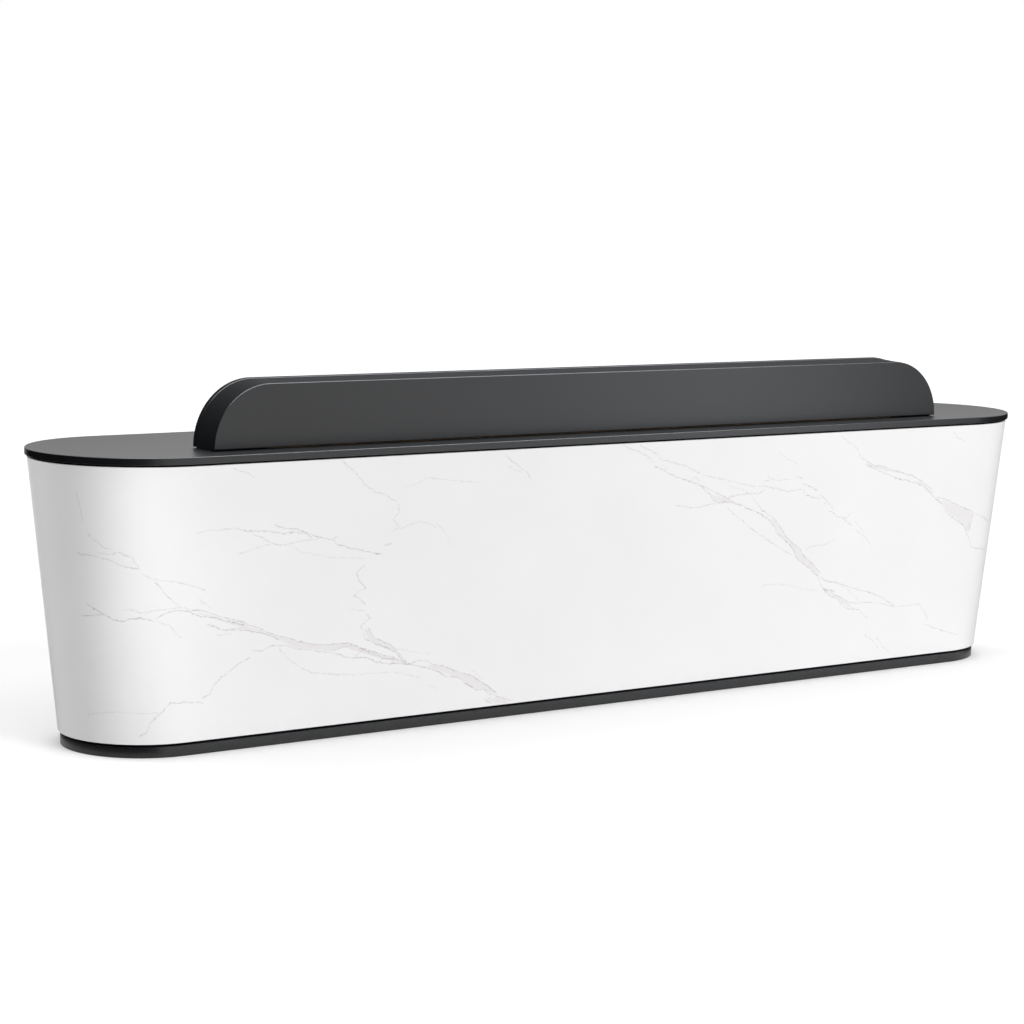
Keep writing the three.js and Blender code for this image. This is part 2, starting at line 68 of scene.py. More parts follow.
# Radius at which the unrolled ends of the marble sheet keep their true length
SHEET_RADIUS = 258 * MM

# Hairlines of the marble's veins, chosen from the photograph with its wall laid flat under a ruled grid. Each has
# the direction it mostly runs in, its strength and its points. A point is the place along that direction and the
# place across it, in millimetres on the unrolled sheet: u runs from left to right with 0 at the middle of the front,
# and z is the height over the floor.
HAIRLINES = (
    # Upper left
    ("z", 0.35, ((590, -1565), (635, -1570), (670, -1580))),
    ("u", 0.5, ((-1560, 575), (-1540, 550), (-1515, 535), (-1490, 525))),
    ("u", 0.6, ((-1540, 520), (-1500, 515), (-1480, 520), (-1450, 510), (-1440, 495), (-1430, 475))),
    ("u", 0.8, ((-1590, 515), (-1540, 510), (-1500, 500), (-1460, 485), (-1430, 480))),
    ("u", 0.6, ((-1430, 470), (-1400, 455), (-1370, 450), (-1310, 435), (-1265, 420))),
    ("u", 0.7, ((-1400, 450), (-1380, 430), (-1365, 410), (-1330, 380))),
    # Roots of the long left vein
    ("u", 0.9, ((-1575, 390), (-1530, 370), (-1500, 355), (-1480, 350), (-1430, 360), (-1395, 348))),
    ("u", 0.9, ((-1590, 355), (-1560, 360), (-1520, 367))),
    ("u", 0.5, ((-1480, 378), (-1450, 378), (-1430, 373), (-1340, 380), (-1290, 373))),
    ("u", 0.5, ((-1395, 350), (-1360, 340), (-1335, 310), (-1320, 300))),
    ("u", 0.9, ((-1395, 355), (-1370, 370), (-1345, 373), (-1310, 370), (-1275, 355), (-1240, 350), (-1150, 322))),
    ("u", 0.5, ((-1285, 400), (-1265, 385), (-1245, 372))),
    # Its upper edge
    ("u", 0.9, ((-1310, 370), (-1290, 373), (-1260, 365), (-1235, 355), (-1165, 333), (-1080, 297), (-1000, 268))),
    ("u", 0.9, ((-1020, 275), (-960, 258), (-900, 250), (-850, 250), (-810, 235), (-740, 208), (-650, 177))),
    # Its lower edge
    ("u", 0.8, ((-1260, 335), (-1240, 330), (-1215, 315), (-1190, 315), (-1155, 316))),
    ("u", 1.0, ((-1215, 313), (-1150, 310), (-1110, 300), (-1080, 290), (-1050, 277))),
    ("u", 0.5, ((-1230, 305), (-1185, 302))),
    ("u", 0.8, ((-1130, 255), (-1100, 252), (-1070, 262), (-1025, 258), (-990, 247), (-910, 232), (-870, 220))),
    ("u", 1.0, ((-890, 225), (-830, 208), (-790, 205), (-760, 192), (-735, 186), (-660, 178), (-600, 160))),
    ("u", 0.8, ((-900, 233), (-870, 236), (-840, 243), (-815, 238), (-800, 228), (-740, 200), (-700, 190))),
    ("u", 0.6, ((-825, 212), (-808, 222), (-800, 232))),
    # Its lower end
    ("u", 1.0, ((-610, 163), (-560, 145), (-540, 132), (-500, 127), (-480, 108), (-440, 85), (-410, 80), (-390, 65))),
    ("u", 0.9, ((-655, 177), (-630, 184), (-605, 180), (-580, 166), (-555, 163), (-460, 125), (-410, 97), (-370, 67))),
    ("u", 0.4, ((-465, 145), (-440, 128), (-415, 108))),
    ("u", 0.9, ((-412, 58), (-402, 50), (-385, 40))),
    ("u", 0.8, ((-380, 62), (-348, 53), (-320, 40))),
    ("u", 0.6, ((-412, 58), (-385, 58))),
    # Lower left
    ("u", 0.8, ((-1440, 55), (-1415, 70), (-1405, 95), (-1380, 115), (-1350, 140), (-1300, 138), (-1255, 133))),
    ("u", 0.9, ((-1265, 145), (-1240, 153), (-1225, 180), (-1200, 200), (-1170, 220), (-1130, 240))),
    ("u", 0.4, ((-1600, 105), (-1500, 120), (-1455, 115), (-1380, 117))),
    ("u", 0.5, ((-1055, 258), (-1025, 228), (-1000, 210), (-980, 195), (-945, 180), (-860, 167))),
    ("u", 0.4, ((-880, 168), (-840, 165), (-680, 157), (-620, 135))),
    ("u", 0.3, ((-600, 118), (-560, 98))),
    # Vein over the long left one
    ("u", 0.4, ((-1300, 567), (-1240, 570), (-1195, 572), (-1160, 563))),
    ("u", 0.9, ((-1180, 566), (-1090, 558), (-1055, 550), (-1020, 550), (-990, 545), (-970, 530))),
    ("u", 1.0, ((-1085, 575), (-1060, 563), (-1020, 557), (-990, 548), (-950, 532), (-910, 525), (-900, 513))),
    ("u", 1.0, ((-905, 515), (-860, 500), (-800, 485), (-780, 478), (-760, 480))),
    ("u", 0.6, ((-1145, 555), (-1110, 540), (-1085, 525), (-1050, 520), (-1010, 525), (-950, 530))),
    ("u", 0.5, ((-1185, 503), (-1130, 517), (-1085, 525))),
    ("u", 0.3, ((-1045, 520), (-1000, 500), (-915, 480), (-810, 470))),
    ("u", 0.6, ((-915, 523), (-895, 532))),
    ("u", 0.6, ((-760, 498), (-730, 503))),
    # Upright branch
    ("z", 0.9, ((345, -800), (360, -815), (375, -840), (390, -805), (405, -820), (430, -835), (455, -808))),
    ("u", 0.6, ((-845, 337), (-800, 328))),
    ("z", 0.7, ((278, -808), (290, -810), (300, -800), (310, -785), (325, -800))),
    ("u", 1.0, ((-808, 278), (-797, 257), (-780, 247), (-720, 222), (-700, 210), (-675, 183))),
    ("u", 1.0, ((-792, 287), (-780, 272), (-770, 257), (-710, 228), (-695, 212), (-665, 183))),
    ("u", 0.5, ((-700, 222), (-660, 212), (-590, 198))),
    # Faint marks over and beside the branch
    ("u", 0.6, ((-905, 730), (-860, 700), (-830, 665), (-790, 640), (-760, 632), (-725, 610))),
    ("z", 0.5, ((533, -735), (548, -715), (565, -735), (585, -715), (608, -725))),
    ("u", 0.4, ((-740, 533), (-700, 545), (-650, 555), (-620, 548), (-600, 535))),
    ("u", 0.4, ((-605, 550), (-575, 523), (-550, 482))),
    ("u", 0.5, ((-1210, 725), (-1160, 705), (-1140, 690))),
    ("u", 0.3, ((-710, 645), (-670, 655), (-640, 670), (-590, 663), (-470, 648))),
    ("u", 0.8, ((-400, 717), (-370, 700), (-345, 680), (-325, 668), (-310, 645))),
    ("u", 0.6, ((-390, 690), (-370, 677), (-340, 668))),
    # Right vein from the worktop down
    ("u", 0.7, ((-20, 728), (50, 703), (80, 690), (95, 675))),
    ("u", 0.7, ((40, 727), (80, 710), (105, 695), (115, 682), (150, 675), (200, 662), (240, 645), (260, 635))),
    ("u", 0.5, ((265, 630), (330, 618), (400, 603), (465, 587))),
    ("u", 1.0, ((95, 668), (120, 655), (150, 640), (180, 632), (260, 602), (300, 590), (350, 567), (390, 545))),
    ("u", 0.6, ((122, 680), (130, 660), (150, 650))),
    ("u", 0.5, ((225, 615), (245, 627), (260, 613))),
    ("u", 0.9, ((265, 600), (300, 575), (310, 560), (335, 550), (380, 548), (410, 540), (460, 522), (500, 503))),
    ("u", 0.6, ((180, 550), (230, 542), (270, 540), (310, 547), (350, 550))),
    ("u", 0.8, ((360, 560), (400, 568), (440, 570), (475, 567), (500, 577))),
    ("u", 0.6, ((470, 590), (500, 587), (540, 580), (560, 571), (600, 568), (640, 571))),
    ("u", 0.6, ((480, 593), (500, 605), (520, 604))),
    ("u", 0.4, ((365, 595), (420, 580), (455, 563))),
    # Its left and right edges
    ("u", 1.0, ((490, 508), (530, 485), (560, 450), (600, 420), (630, 392), (637, 375), (660, 358))),
    ("u", 0.9, ((650, 365), (700, 333), (730, 310), (750, 275), (780, 250), (810, 240))),
    ("u", 0.8, ((455, 565), (465, 550), (500, 515), (530, 500), (560, 475), (600, 432), (620, 415), (650, 400))),
    ("u", 0.9, ((645, 402), (665, 378), (690, 358), (720, 335), (740, 315))),
    ("u", 0.5, ((360, 540), (410, 502), (450, 475), (500, 447), (560, 412), (625, 378))),
    # Its lower fork
    ("u", 0.9, ((740, 305), (770, 290), (800, 287), (850, 270), (950, 242), (1000, 220), (1050, 195))),
    ("u", 0.7, ((750, 273), (770, 265), (805, 260))),
    ("u", 0.9, ((800, 250), (830, 240), (860, 222), (900, 217), (950, 215), (1000, 205), (1050, 192))),
    ("u", 0.7, ((810, 240), (840, 215), (860, 203), (885, 195))),
    ("u", 0.9, ((860, 220), (875, 203), (905, 195), (925, 180), (942, 165))),
    ("u", 0.4, ((515, 292), (540, 299), (600, 295), (680, 275), (740, 265))),
    ("u", 0.45, ((670, 388), (690, 400), (750, 403), (780, 415), (800, 412))),
    ("u", 0.5, ((1050, 193), (1145, 195), (1160, 178), (1180, 155), (1192, 137))),
    ("u", 0.6, ((1175, 130), (1190, 124), (1240, 107), (1265, 98), (1300, 90), (1330, 85))),
    ("u", 0.5, ((935, 120), (960, 103), (985, 85), (1000, 68))),
    ("u", 0.7, ((980, 106), (1000, 93), (1012, 75), (1050, 53))),
    ("u", 0.4, ((815, 283), (850, 262), (900, 225))),
    # Broken strand beside it
    ("u", 0.4, ((535, 687), (570, 662), (615, 645))),
    ("u", 0.9, ((612, 612), (630, 605), (642, 600))),
    ("u", 0.9, ((635, 590), (645, 583), (655, 582), (700, 563))),
    ("u", 0.8, ((640, 572), (650, 558), (670, 548), (710, 540))),
    ("u", 0.8, ((705, 555), (720, 543), (750, 520), (765, 508))),
    ("u", 0.8, ((725, 528), (735, 520))),
    ("u", 0.8, ((748, 503), (760, 500), (775, 485), (800, 477), (840, 455))),
    ("u", 0.6, ((795, 483), (820, 475), (835, 495))),
    ("u", 0.6, ((855, 442), (870, 430), (895, 417), (930, 383))),
    ("u", 0.3, ((845, 470), (880, 440), (895, 425))),
    ("u", 0.5, ((540, 620), (545, 610))),
    ("u", 0.5, ((498, 627), (515, 612), (530, 603), (600, 601))),
    # Far right vein
    ("u", 0.35, ((765, 722), (790, 705), (825, 688), (855, 655))),
    ("u", 0.9, ((848, 655), (880, 640), (910, 628), (940, 625), (980, 610), (1060, 590), (1100, 573), (1155, 535))),
    ("u", 0.9, ((868, 633), (890, 625), (910, 618), (970, 597), (1000, 585), (1080, 567), (1110, 555), (1165, 515))),
    ("u", 0.9, ((1160, 517), (1190, 498), (1230, 460), (1260, 443), (1290, 430), (1315, 400))),
    ("u", 0.9, ((1165, 517), (1180, 518), (1220, 505), (1260, 490), (1325, 465))),
    ("z", 0.8, ((400, 1318), (440, 1325), (465, 1328))),
    ("u", 0.7, ((1335, 460), (1360, 453), (1400, 440), (1420, 430), (1460, 428))),
    ("u", 0.8, ((1305, 405), (1320, 385), (1335, 360), (1350, 353), (1450, 335))),
    ("u", 0.5, ((1205, 715), (1225, 698), (1265, 682))),
    # Rear of the two ends, which the photograph doesn't show
    ("u", 0.8, ((1550, 315), (1610, 300), (1670, 265), (1790, 205), (1930, 170), (2105, 95))),
    ("u", 0.7, ((1590, 295), (1680, 285), (1760, 235), (1850, 180))),
    ("u", 0.7, ((1560, 640), (1640, 595), (1770, 575), (1890, 510), (2105, 470))),
    ("u", 0.7, ((-2105, 440), (-2040, 415), (-1960, 390), (-1880, 370))),
    ("u", 0.5, ((-2105, 180), (-2010, 150), (-1880, 120))),
)

# Pale grey bands between some of the hairlines. A point also has half the height of the band there.
BANDS = (
    ("u", ((-1290, 368, 2), (-1180, 328, 5), (-1080, 292, 4), (-1000, 260, 8), (-960, 252, 7), (-900, 242, 9),
           (-850, 244, 7), (-800, 225, 7), (-740, 202, 5), (-660, 178, 3))),
    ("u", ((-600, 165, 4), (-550, 153, 8), (-500, 133, 7), (-470, 115, 16), (-440, 103, 17), (-410, 90, 9),
           (-375, 66, 6))),
    ("u", ((-405, 52, 2), (-375, 50, 9), (-335, 44, 6))),
    ("u", ((-802, 281, 6), (-788, 267, 13), (-770, 250, 8), (-710, 222, 7), (-680, 194, 5))),
    ("u", ((300, 573, 3), (325, 562, 9), (365, 555, 7), (400, 543, 3))),
    ("u", ((530, 492, 6), (560, 462, 12), (600, 426, 7), (640, 390, 16), (665, 366, 12), (700, 342, 9), (735, 312, 5))),
    ("u", ((750, 273, 2), (790, 255, 6), (830, 232, 7), (870, 208, 4))),
    ("u", ((870, 637, 2), (900, 627, 5), (940, 619, 6), (1000, 603, 4), (1020, 600, 2))),
    ("u", ((1070, 574, 2), (1100, 566, 7), (1130, 544, 4), (1165, 517, 3))),
    ("u", ((1165, 515, 2), (1210, 494, 14), (1240, 477, 20), (1280, 459, 26), (1310, 438, 33), (1326, 435, 30))),
    ("u", ((1600, 300, 5), (1670, 275, 14), (1760, 225, 10), (1840, 185, 4))),
)

# Place and aim of the camera, found by laying the desk's outline over the photograph
CAMERA_PLACE = (-4.206, -5.880, 1.410)
CAMERA_YAW = 34.42
CAMERA_PITCH = -7.10
CAMERA_ROLL = 0.855
CAMERA_LENS = 91.06
SENSOR_WIDTH = 36.0


def linear(code):
    """Linear colour of an sRGB hex code."""
    shares = [int(code[i:i + 2], 16) / 255 for i in (1, 3, 5)]
    return tuple(c / 12.92 if c <= 0.04045 else ((c + 0.055) / 1.055) ** 2.4 for c in shares)


def opaque(colour):
    """The colour with the full alpha that a node's socket asks for."""
    return (*colour, 1.0)


def size_property(name, description, millimetres):
    """A length that is kept in metres and shown in the scene's unit."""
    return bpy.props.FloatProperty(
        name=name, description=description, default=millimetres * MM, min=0.0, precision=5,
        unit="LENGTH", subtype="DISTANCE")


def colour_property(name, description, code):
    """A finish's colour, given as an sRGB hex code."""
    return bpy.props.FloatVectorProperty(
        name=name, description=description, default=linear(code), size=3, min=0.0, max=1.0, subtype="COLOR")


class DeskSizes(bpy.types.PropertyGroup):
    """Sizes of the details that the CAD solids leave plain."""

    sheet_thickness: size_property("Sheet thickness", "Thickness of the marble sheet", 6)
    sheet_arris: size_property("Sheet arris", "Rounding along the marble sheet's outer edges", 1)
    vein_line: size_property("Vein line", "Half the width of a vein's hairline", 2.8)
    worktop_arris: size_property("Worktop arris", "Rounding along the worktop's edges", 2.5)
    worktop_gap: size_property("Worktop gap", "Shadow gap between the worktop's edge and the wall", 5)
    gap_depth: size_property("Gap depth", "Depth of the shadow gaps behind what overhangs them", 12)
    screen_arris: size_property("Screen arris", "Rounding along the edges of the screen's two boards", 2.5)
    screen_gap: size_property("Screen gap", "Shadow gap under the screen's two boards", 3)
    plinth_gap: size_property("Plinth gap", "Shadow gap between the plinth and the wall", 7)
    plinth_arris: size_property("Plinth arris", "Rounding along the plinth's edges", 1)
    board_arris: size_property("Board arris", "Rounding along the edges of the carcass boards and fronts", 0.8)
    handle_arris: size_property("Handle arris", "Rounding along the edges of the bar handles", 2.5)
    metal_arris: size_property("Metal arris", "Rounding along the edges of runners and hinges", 0.4)
    plastic_arris: size_property("Plastic arris", "Rounding along the edges of the cable grommets", 0.8)
    keyway_length: size_property("Keyway length", "Length of the slot for the key", 9)
    keyway_width: size_property("Keyway width", "Width of the slot for the key", 2)
    keyway_depth: size_property("Keyway depth", "Depth of the slot for the key", 4)
    screw_radius: size_property("Screw radius", "Radius of the heads of the hinge screws", 3.2)


class DeskColours(bpy.types.PropertyGroup):
    """Colours of the finishes."""

    laminate: colour_property("Black laminate", "Worktop, screen and plinth", "#111214")
    marble: colour_property("Marble ground", "White ground of the marble sheet", "#F3F3F3")
    marble_cloud: colour_property("Marble cloud", "Faint grey clouds in the marble's ground", "#F0F0F0")
    vein_band: colour_property("Vein band", "Pale grey between two hairlines of a vein", "#EAE7E8")
    vein_edge: colour_property("Vein hairline", "Fine warm grey line of a vein", "#BBB5B7")
    white_board: colour_property("White melamine", "Carcass boards, drawer fronts and door", "#EBEAE6")
    grey_board: colour_property("Grey melamine", "Drawer boxes", "#9A9C9E")
    plywood: colour_property("Plywood", "Core, formers and screen ribs", "#CBA675")
    plywood_grain: colour_property("Plywood grain", "Darker grain lines of the plywood", "#A9824F")
    zinc: colour_property("Zinc plating", "Runners, hinges and locks", "#C2C4C7")
    powder_coat: colour_property("Black powder coat", "Bar handles", "#1B1B1D")
    moulded_black: colour_property("Black plastic", "Cable grommets", "#202123")
    floor: colour_property("Floor", "Plain studio floor", "#E4E4E4")
    gleam: colour_property("Gleam", "Cool white of the lamps that only reflections show", "#F2F7FF")
    drape: colour_property("Drape", "Dark cloth that only reflections show", "#050505")


def add_node(tree, kind, links=None, **settings):
    """Adds a node, gives it its settings and fills its sockets with values or with links from other nodes."""
    node = tree.nodes.new(kind)
    for name, value in settings.items():
        setattr(node, name, value)
    for key, value in (links or {}).items():
        if isinstance(value, bpy.types.Node):
            value = value.outputs[0]
        if isinstance(value, bpy.types.NodeSocket):
            tree.links.new(value, node.inputs[key])
        else:
            node.inputs[key].default_value = value
    return node


def blank_material(name):
    """A material with nothing in its tree but the output, and that tree."""
    material = bpy.data.materials.new(name)
    material.use_nodes = True
    material.node_tree.nodes.clear()
    add_node(material.node_tree, "ShaderNodeOutputMaterial")
    return material, material.node_tree


def coat(tree, **sockets):
    """Joins a principled shader with these sockets to the tree's output."""
    links = {name.replace("_", " "): value for name, value in sockets.items()}
    shader = add_node(tree, "ShaderNodeBsdfPrincipled", links)
    output = tree.nodes["Material Output"]
    tree.links.new(shader.outputs[0], output.inputs["Surface"])
    return shader


def black_laminate(colours, name="Black laminate, pressed matt", gloss=(0.30, 0.40), sheen=0.62):
    """Laminate pressed on board with a fine pearl texture.

    It gives a deep charcoal with a broad soft sheen that turns pale at a glancing angle and shows no sharp reflection.
    """
    if name in bpy.data.materials:
        return bpy.data.materials[name]
    material, tree = blank_material(name)
    place = add_node(tree, "ShaderNodeTexCoord").outputs["Object"]
    # The pressed pearls are about 0.5 mm wide and are drawn at 3 mm so that they show
    pearl = add_node(tree, "ShaderNodeTexNoise", {"Vector": place, "Scale": 1 / (3 * MM), "Detail": 2.0})
    # Sheets of laminate vary slowly in tone, over about 400 mm
    tone = add_node(tree, "ShaderNodeTexNoise", {"Vector": place, "Scale": 1 / (400 * MM), "Detail": 2.0})
    share = add_node(tree, "ShaderNodeMix", {"Factor": 0.6, "A": tone, "B": pearl})
    shade = add_node(tree, "ShaderNodeValToRGB", {"Fac": share})
    dark, light = shade.color_ramp.elements
    dark.position, dark.color = 0.3, opaque([0.82 * c for c in colours.laminate])
    light.position, light.color = 0.7, opaque([1.18 * c for c in colours.laminate])
    rough = add_node(tree, "ShaderNodeMapRange", {"Value": pearl, "To Min": gloss[0], "To Max": gloss[1]})
    relief = add_node(tree, "ShaderNodeBump", {"Height": pearl, "Strength": 0.08, "Distance": 0.1 * MM})
    coat(tree, Base_Color=shade, Roughness=rough, Normal=relief, IOR=1.5, Specular_IOR_Level=sheen)
    return material


def black_skin(colours):
    """Thin laminate bent over the screen's edges and rubbed dull.

    It gives a deeper black than the pressed boards, with hardly any sheen along the top and the round ends.
    """
    return black_laminate(colours, "Black laminate, bent and dull", gloss=(0.75, 0.85), sheen=0.15)


def painted_shade_black(colours):
    """Black laminate without sheen, put in the shadow gaps as painted shade.

    It gives a black with no sheen at all, painted shade which reads as shadow in the gaps under the worktop and over
    the plinth.
    """
    return black_laminate(colours, "Black fibreboard, raw edge", gloss=(0.9, 1.0), sheen=0.05)


def vein_group():
    """Node group that draws one vein across its run.

    Route holds the vein's middle, one over its half width and its strength at this place along it. Swell narrows it
    where it is over 1. Soft is the share of the half width over which the vein fades out.
    """
    group = bpy.data.node_groups.new("Vein across its run", "ShaderNodeTree")
    group.interface.new_socket("Across", in_out="INPUT", socket_type="NodeSocketFloat")
    group.interface.new_socket("Route", in_out="INPUT", socket_type="NodeSocketVector")
    group.interface.new_socket("Swell", in_out="INPUT", socket_type="NodeSocketFloat")
    group.interface.new_socket("Soft", in_out="INPUT", socket_type="NodeSocketFloat")
    group.interface.new_socket("Share", in_out="OUTPUT", socket_type="NodeSocketFloat")
    given = add_node(group, "NodeGroupInput").outputs
    # A separate node would need a colour, and clamping another node: the renderer then holds the values of all the
    # veins at once and runs out of room
    middle, narrowness, strength = (
        add_node(group, "ShaderNodeVectorMath", {0: given["Route"], 1: axis}, operation="DOT_PRODUCT").outputs["Value"]
        for axis in ((1, 0, 0), (0, 1, 0), (0, 0, 1)))
    offset = add_node(group, "ShaderNodeMath", {0: given["Across"], 1: middle}, operation="SUBTRACT")
    distance = add_node(group, "ShaderNodeMath", {0: offset}, operation="ABSOLUTE")
    reached = add_node(group, "ShaderNodeMath", {0: distance, 1: narrowness}, operation="MULTIPLY")
    swollen = add_node(group, "ShaderNodeMath", {0: reached, 1: given["Swell"]}, operation="MULTIPLY")
    core = add_node(group, "ShaderNodeMath", {0: 1.0, 1: given["Soft"]}, operation="SUBTRACT")
    inside = add_node(
        group, "ShaderNodeMapRange",
        {"Value": swollen, "From Min": core, "From Max": 1.0, "To Min": 1.0, "To Max": 0.0},
        interpolation_type="SMOOTHSTEP", clamp=False)
    share = add_node(group, "ShaderNodeMath", {0: inside, 1: strength}, operation="MULTIPLY")
    add_node(group, "NodeGroupOutput", {"Share": share})
    return group


def vein_route(tree, along, points, narrowness, strength):
    """Curves node that gives a vein's middle, one over its half width and its strength from the place along it.

    That place comes as a vector that holds it three times, one for each curve.
    """
    start, end = points[0][0], points[-1][0]
    length = (end - start) * MM
    share = add_node(
        tree, "ShaderNodeVectorMath", {0: along, 1: [1 / length] * 3, 2: [-start * MM / length] * 3},
        operation="MULTIPLY_ADD")
    route = add_node(tree, "ShaderNodeVectorCurve", {"Vector": share})
    route.mapping.use_clip = False
    route.mapping.extend = "HORIZONTAL"
    places = [(point[0] - start) / (end - start) for point in points]
    # Each vein fades out over 6 mm at its ends
    fade = min(0.3, 6 / (end - start))
    graphs = (
        [(at, point[1] * MM) for at, point in zip(places, points)],
        list(zip(places, narrowness)),
        [(0.0, 0.0), (fade, strength), (1.0 - fade, strength), (1.0, 0.0)],
    )
    for curve, graph in zip(route.mapping.curves, graphs):
        curve.points[0].location = graph[0]
        curve.points[1].location = graph[-1]
        for at in graph[1:-1]:
            curve.points.new(*at)
        for point in curve.points:
            point.handle_type = "VECTOR"
    route.mapping.update()
    return route


def slants(points):
    """Share of the distance across that is square to the vein, at each of its points."""
    steps = [(b[0] - a[0]) / math.dist(a[:2], b[:2]) for a, b in zip(points, points[1:])]
    return [(a + b) / 2 for a, b in zip([steps[0], *steps], [*steps, steps[-1]])]


def marble_sheet(colours, sizes):
    """Printed marble-look sheet under a satin wear layer.

    It gives a nearly even white with faint clouds, and warm grey veins made of broken hairlines with a pale band
    between some of them. The wear layer has a broad soft highlight where the ends turn.
    """
    material, tree = blank_material("Marble print, satin wear layer")
    sheet = add_node(tree, "ShaderNodeUVMap", uv_map="sheet")
    # Veins wander over about 40 mm and their edges are ragged over about 12 mm
    warped = sheet
    for wavelength, sway in ((40 * MM, 9 * MM), (12 * MM, 9 * MM)):
        noise = add_node(tree, "ShaderNodeTexNoise", {"Vector": sheet, "Scale": 1 / wavelength, "Detail": 2.0})
        shift = add_node(
            tree, "ShaderNodeVectorMath", {0: noise.outputs["Color"], 1: (0.5, 0.5, 0.5)}, operation="SUBTRACT")
        scaled = add_node(tree, "ShaderNodeVectorMath", {0: shift, "Scale": sway}, operation="SCALE")
        warped = add_node(tree, "ShaderNodeVectorMath", {0: warped, 1: scaled}, operation="ADD")
    u, z = add_node(tree, "ShaderNodeSeparateXYZ", {"Vector": warped}).outputs[:2]
    along_u = add_node(tree, "ShaderNodeCombineXYZ", {"X": u, "Y": u, "Z": u})
    along_z = add_node(tree, "ShaderNodeCombineXYZ", {"X": z, "Y": z, "Z": z})
    runs = {"u": (along_u, z), "z": (along_z, u)}
    # Hairlines swell and thin over about 20 mm
    swelling = add_node(tree, "ShaderNodeTexNoise", {"Vector": sheet, "Scale": 1 / (20 * MM), "Detail": 2.0})
    swell = add_node(
        tree, "ShaderNodeMapRange",
        {"Value": swelling, "From Min": 0.3, "From Max": 0.7, "To Min": 2.0, "To Max": 0.7})
    group = vein_group()

    def drawn_vein(direction, points, narrowness, strength, soft, swell, others):
        """The stronger of one more vein and the others."""
        along, across = runs[direction]
        route = vein_route(tree, along, points, narrowness, strength)
        vein = add_node(tree, "ShaderNodeGroup", node_tree=group)
        tree.links.new(across, vein.inputs["Across"])
        tree.links.new(route.outputs[0], vein.inputs["Route"])
        if swell:
            tree.links.new(swell.outputs[0], vein.inputs["Swell"])
        else:
            vein.inputs["Swell"].default_value = 1.0
        vein.inputs["Soft"].default_value = soft
        return add_node(tree, "ShaderNodeMath", {0: others, 1: vein}, operation="MAXIMUM")

    lines, bands = 0.0, 0.0
    for direction, strength, points in HAIRLINES:
        narrowness = [slant / sizes.vein_line for slant in slants(points)]
        lines = drawn_vein(direction, points, narrowness, strength, 1.0, swell, lines)
    for direction, points in BANDS:
        narrowness = [1 / (point[2] * MM) for point in points]
        bands = drawn_vein(direction, points, narrowness, 1.0, 0.2, None, bands)
    # Hairlines are beaded every 9 mm or so and grow faint and strong again over about 90 mm
    beads = add_node(tree, "ShaderNodeTexNoise", {"Vector": sheet, "Scale": 1 / (9 * MM), "Detail": 1.0})
    bead = add_node(
        tree, "ShaderNodeMapRange", {"Value": beads, "From Min": 0.4, "From Max": 0.6, "To Min": 0.4})
    fading = add_node(tree, "ShaderNodeTexNoise", {"Vector": sheet, "Scale": 1 / (90 * MM), "Detail": 2.0})
    fade = add_node(
        tree, "ShaderNodeMapRange", {"Value": fading, "From Min": 0.3, "From Max": 0.6, "To Min": 0.6})
    beaded = add_node(tree, "ShaderNodeMath", {0: lines, 1: bead}, operation="MULTIPLY")
    drawn = add_node(tree, "ShaderNodeMath", {0: beaded, 1: fade}, operation="MULTIPLY")
    # The bands are mottled over about 40 mm, and the ground clouds over about 300 mm
    patches = add_node(tree, "ShaderNodeTexNoise", {"Vector": sheet, "Scale": 1 / (40 * MM), "Detail": 3.0})
    patch = add_node(
        tree, "ShaderNodeMapRange", {"Value": patches, "From Min": 0.3, "From Max": 0.6, "To Min": 0.7})
    filled = add_node(tree, "ShaderNodeMath", {0: bands, 1: patch}, operation="MULTIPLY")
    clouds = add_node(tree, "ShaderNodeTexNoise", {"Vector": sheet, "Scale": 1 / (300 * MM), "Detail": 4.0})
    cloud = add_node(tree, "ShaderNodeMapRange", {"Value": clouds, "From Min": 0.35, "From Max": 0.75})
    colour = add_node(
        tree, "ShaderNodeMix",
        {"Factor": cloud, 6: opaque(colours.marble), 7: opaque(colours.marble_cloud)}, data_type="RGBA")
    for share, layer in ((filled, colours.vein_band), (drawn, colours.vein_edge)):
        colour = add_node(
            tree, "ShaderNodeMix",
            {"Factor": share, 6: colour.outputs[2], 7: opaque(layer)}, data_type="RGBA")
    gloss = add_node(tree, "ShaderNodeMapRange", {"Value": clouds, "To Min": 0.30, "To Max": 0.40})
    coat(tree, Base_Color=colour.outputs[2], Roughness=gloss, IOR=1.5)
    return material


def melamine(name, colour):
    """Melamine-faced board with a fine pressed grain.

    It gives an even, slightly warm surface with a soft sheen and a fine stipple.
    """
    if name in bpy.data.materials:
        return bpy.data.materials[name]
    material, tree = blank_material(name)
    place = add_node(tree, "ShaderNodeTexCoord").outputs["Object"]
    # The stipple is about 0.4 mm wide and is drawn at 2.5 mm so that it shows
    stipple = add_node(tree, "ShaderNodeTexNoise", {"Vector": place, "Scale": 1 / (2.5 * MM), "Detail": 2.0})
    tone = add_node(tree, "ShaderNodeTexNoise", {"Vector": place, "Scale": 1 / (250 * MM), "Detail": 3.0})
    share = add_node(tree, "ShaderNodeMix", {"Factor": 0.4, "A": tone, "B": stipple})
    shade = add_node(tree, "ShaderNodeValToRGB", {"Fac": share})
    dark, light = shade.color_ramp.elements
    dark.position, dark.color = 0.3, opaque([0.95 * c for c in colour])
    light.position, light.color = 0.7, opaque([min(1.0, 1.03 * c) for c in colour])
    gloss = add_node(tree, "ShaderNodeMapRange", {"Value": stipple, "To Min": 0.38, "To Max": 0.5})
    relief = add_node(tree, "ShaderNodeBump", {"Height": stipple, "Strength": 0.06, "Distance": 0.1 * MM})
    coat(tree, Base_Color=shade, Roughness=gloss, Normal=relief, IOR=1.5)
    return material


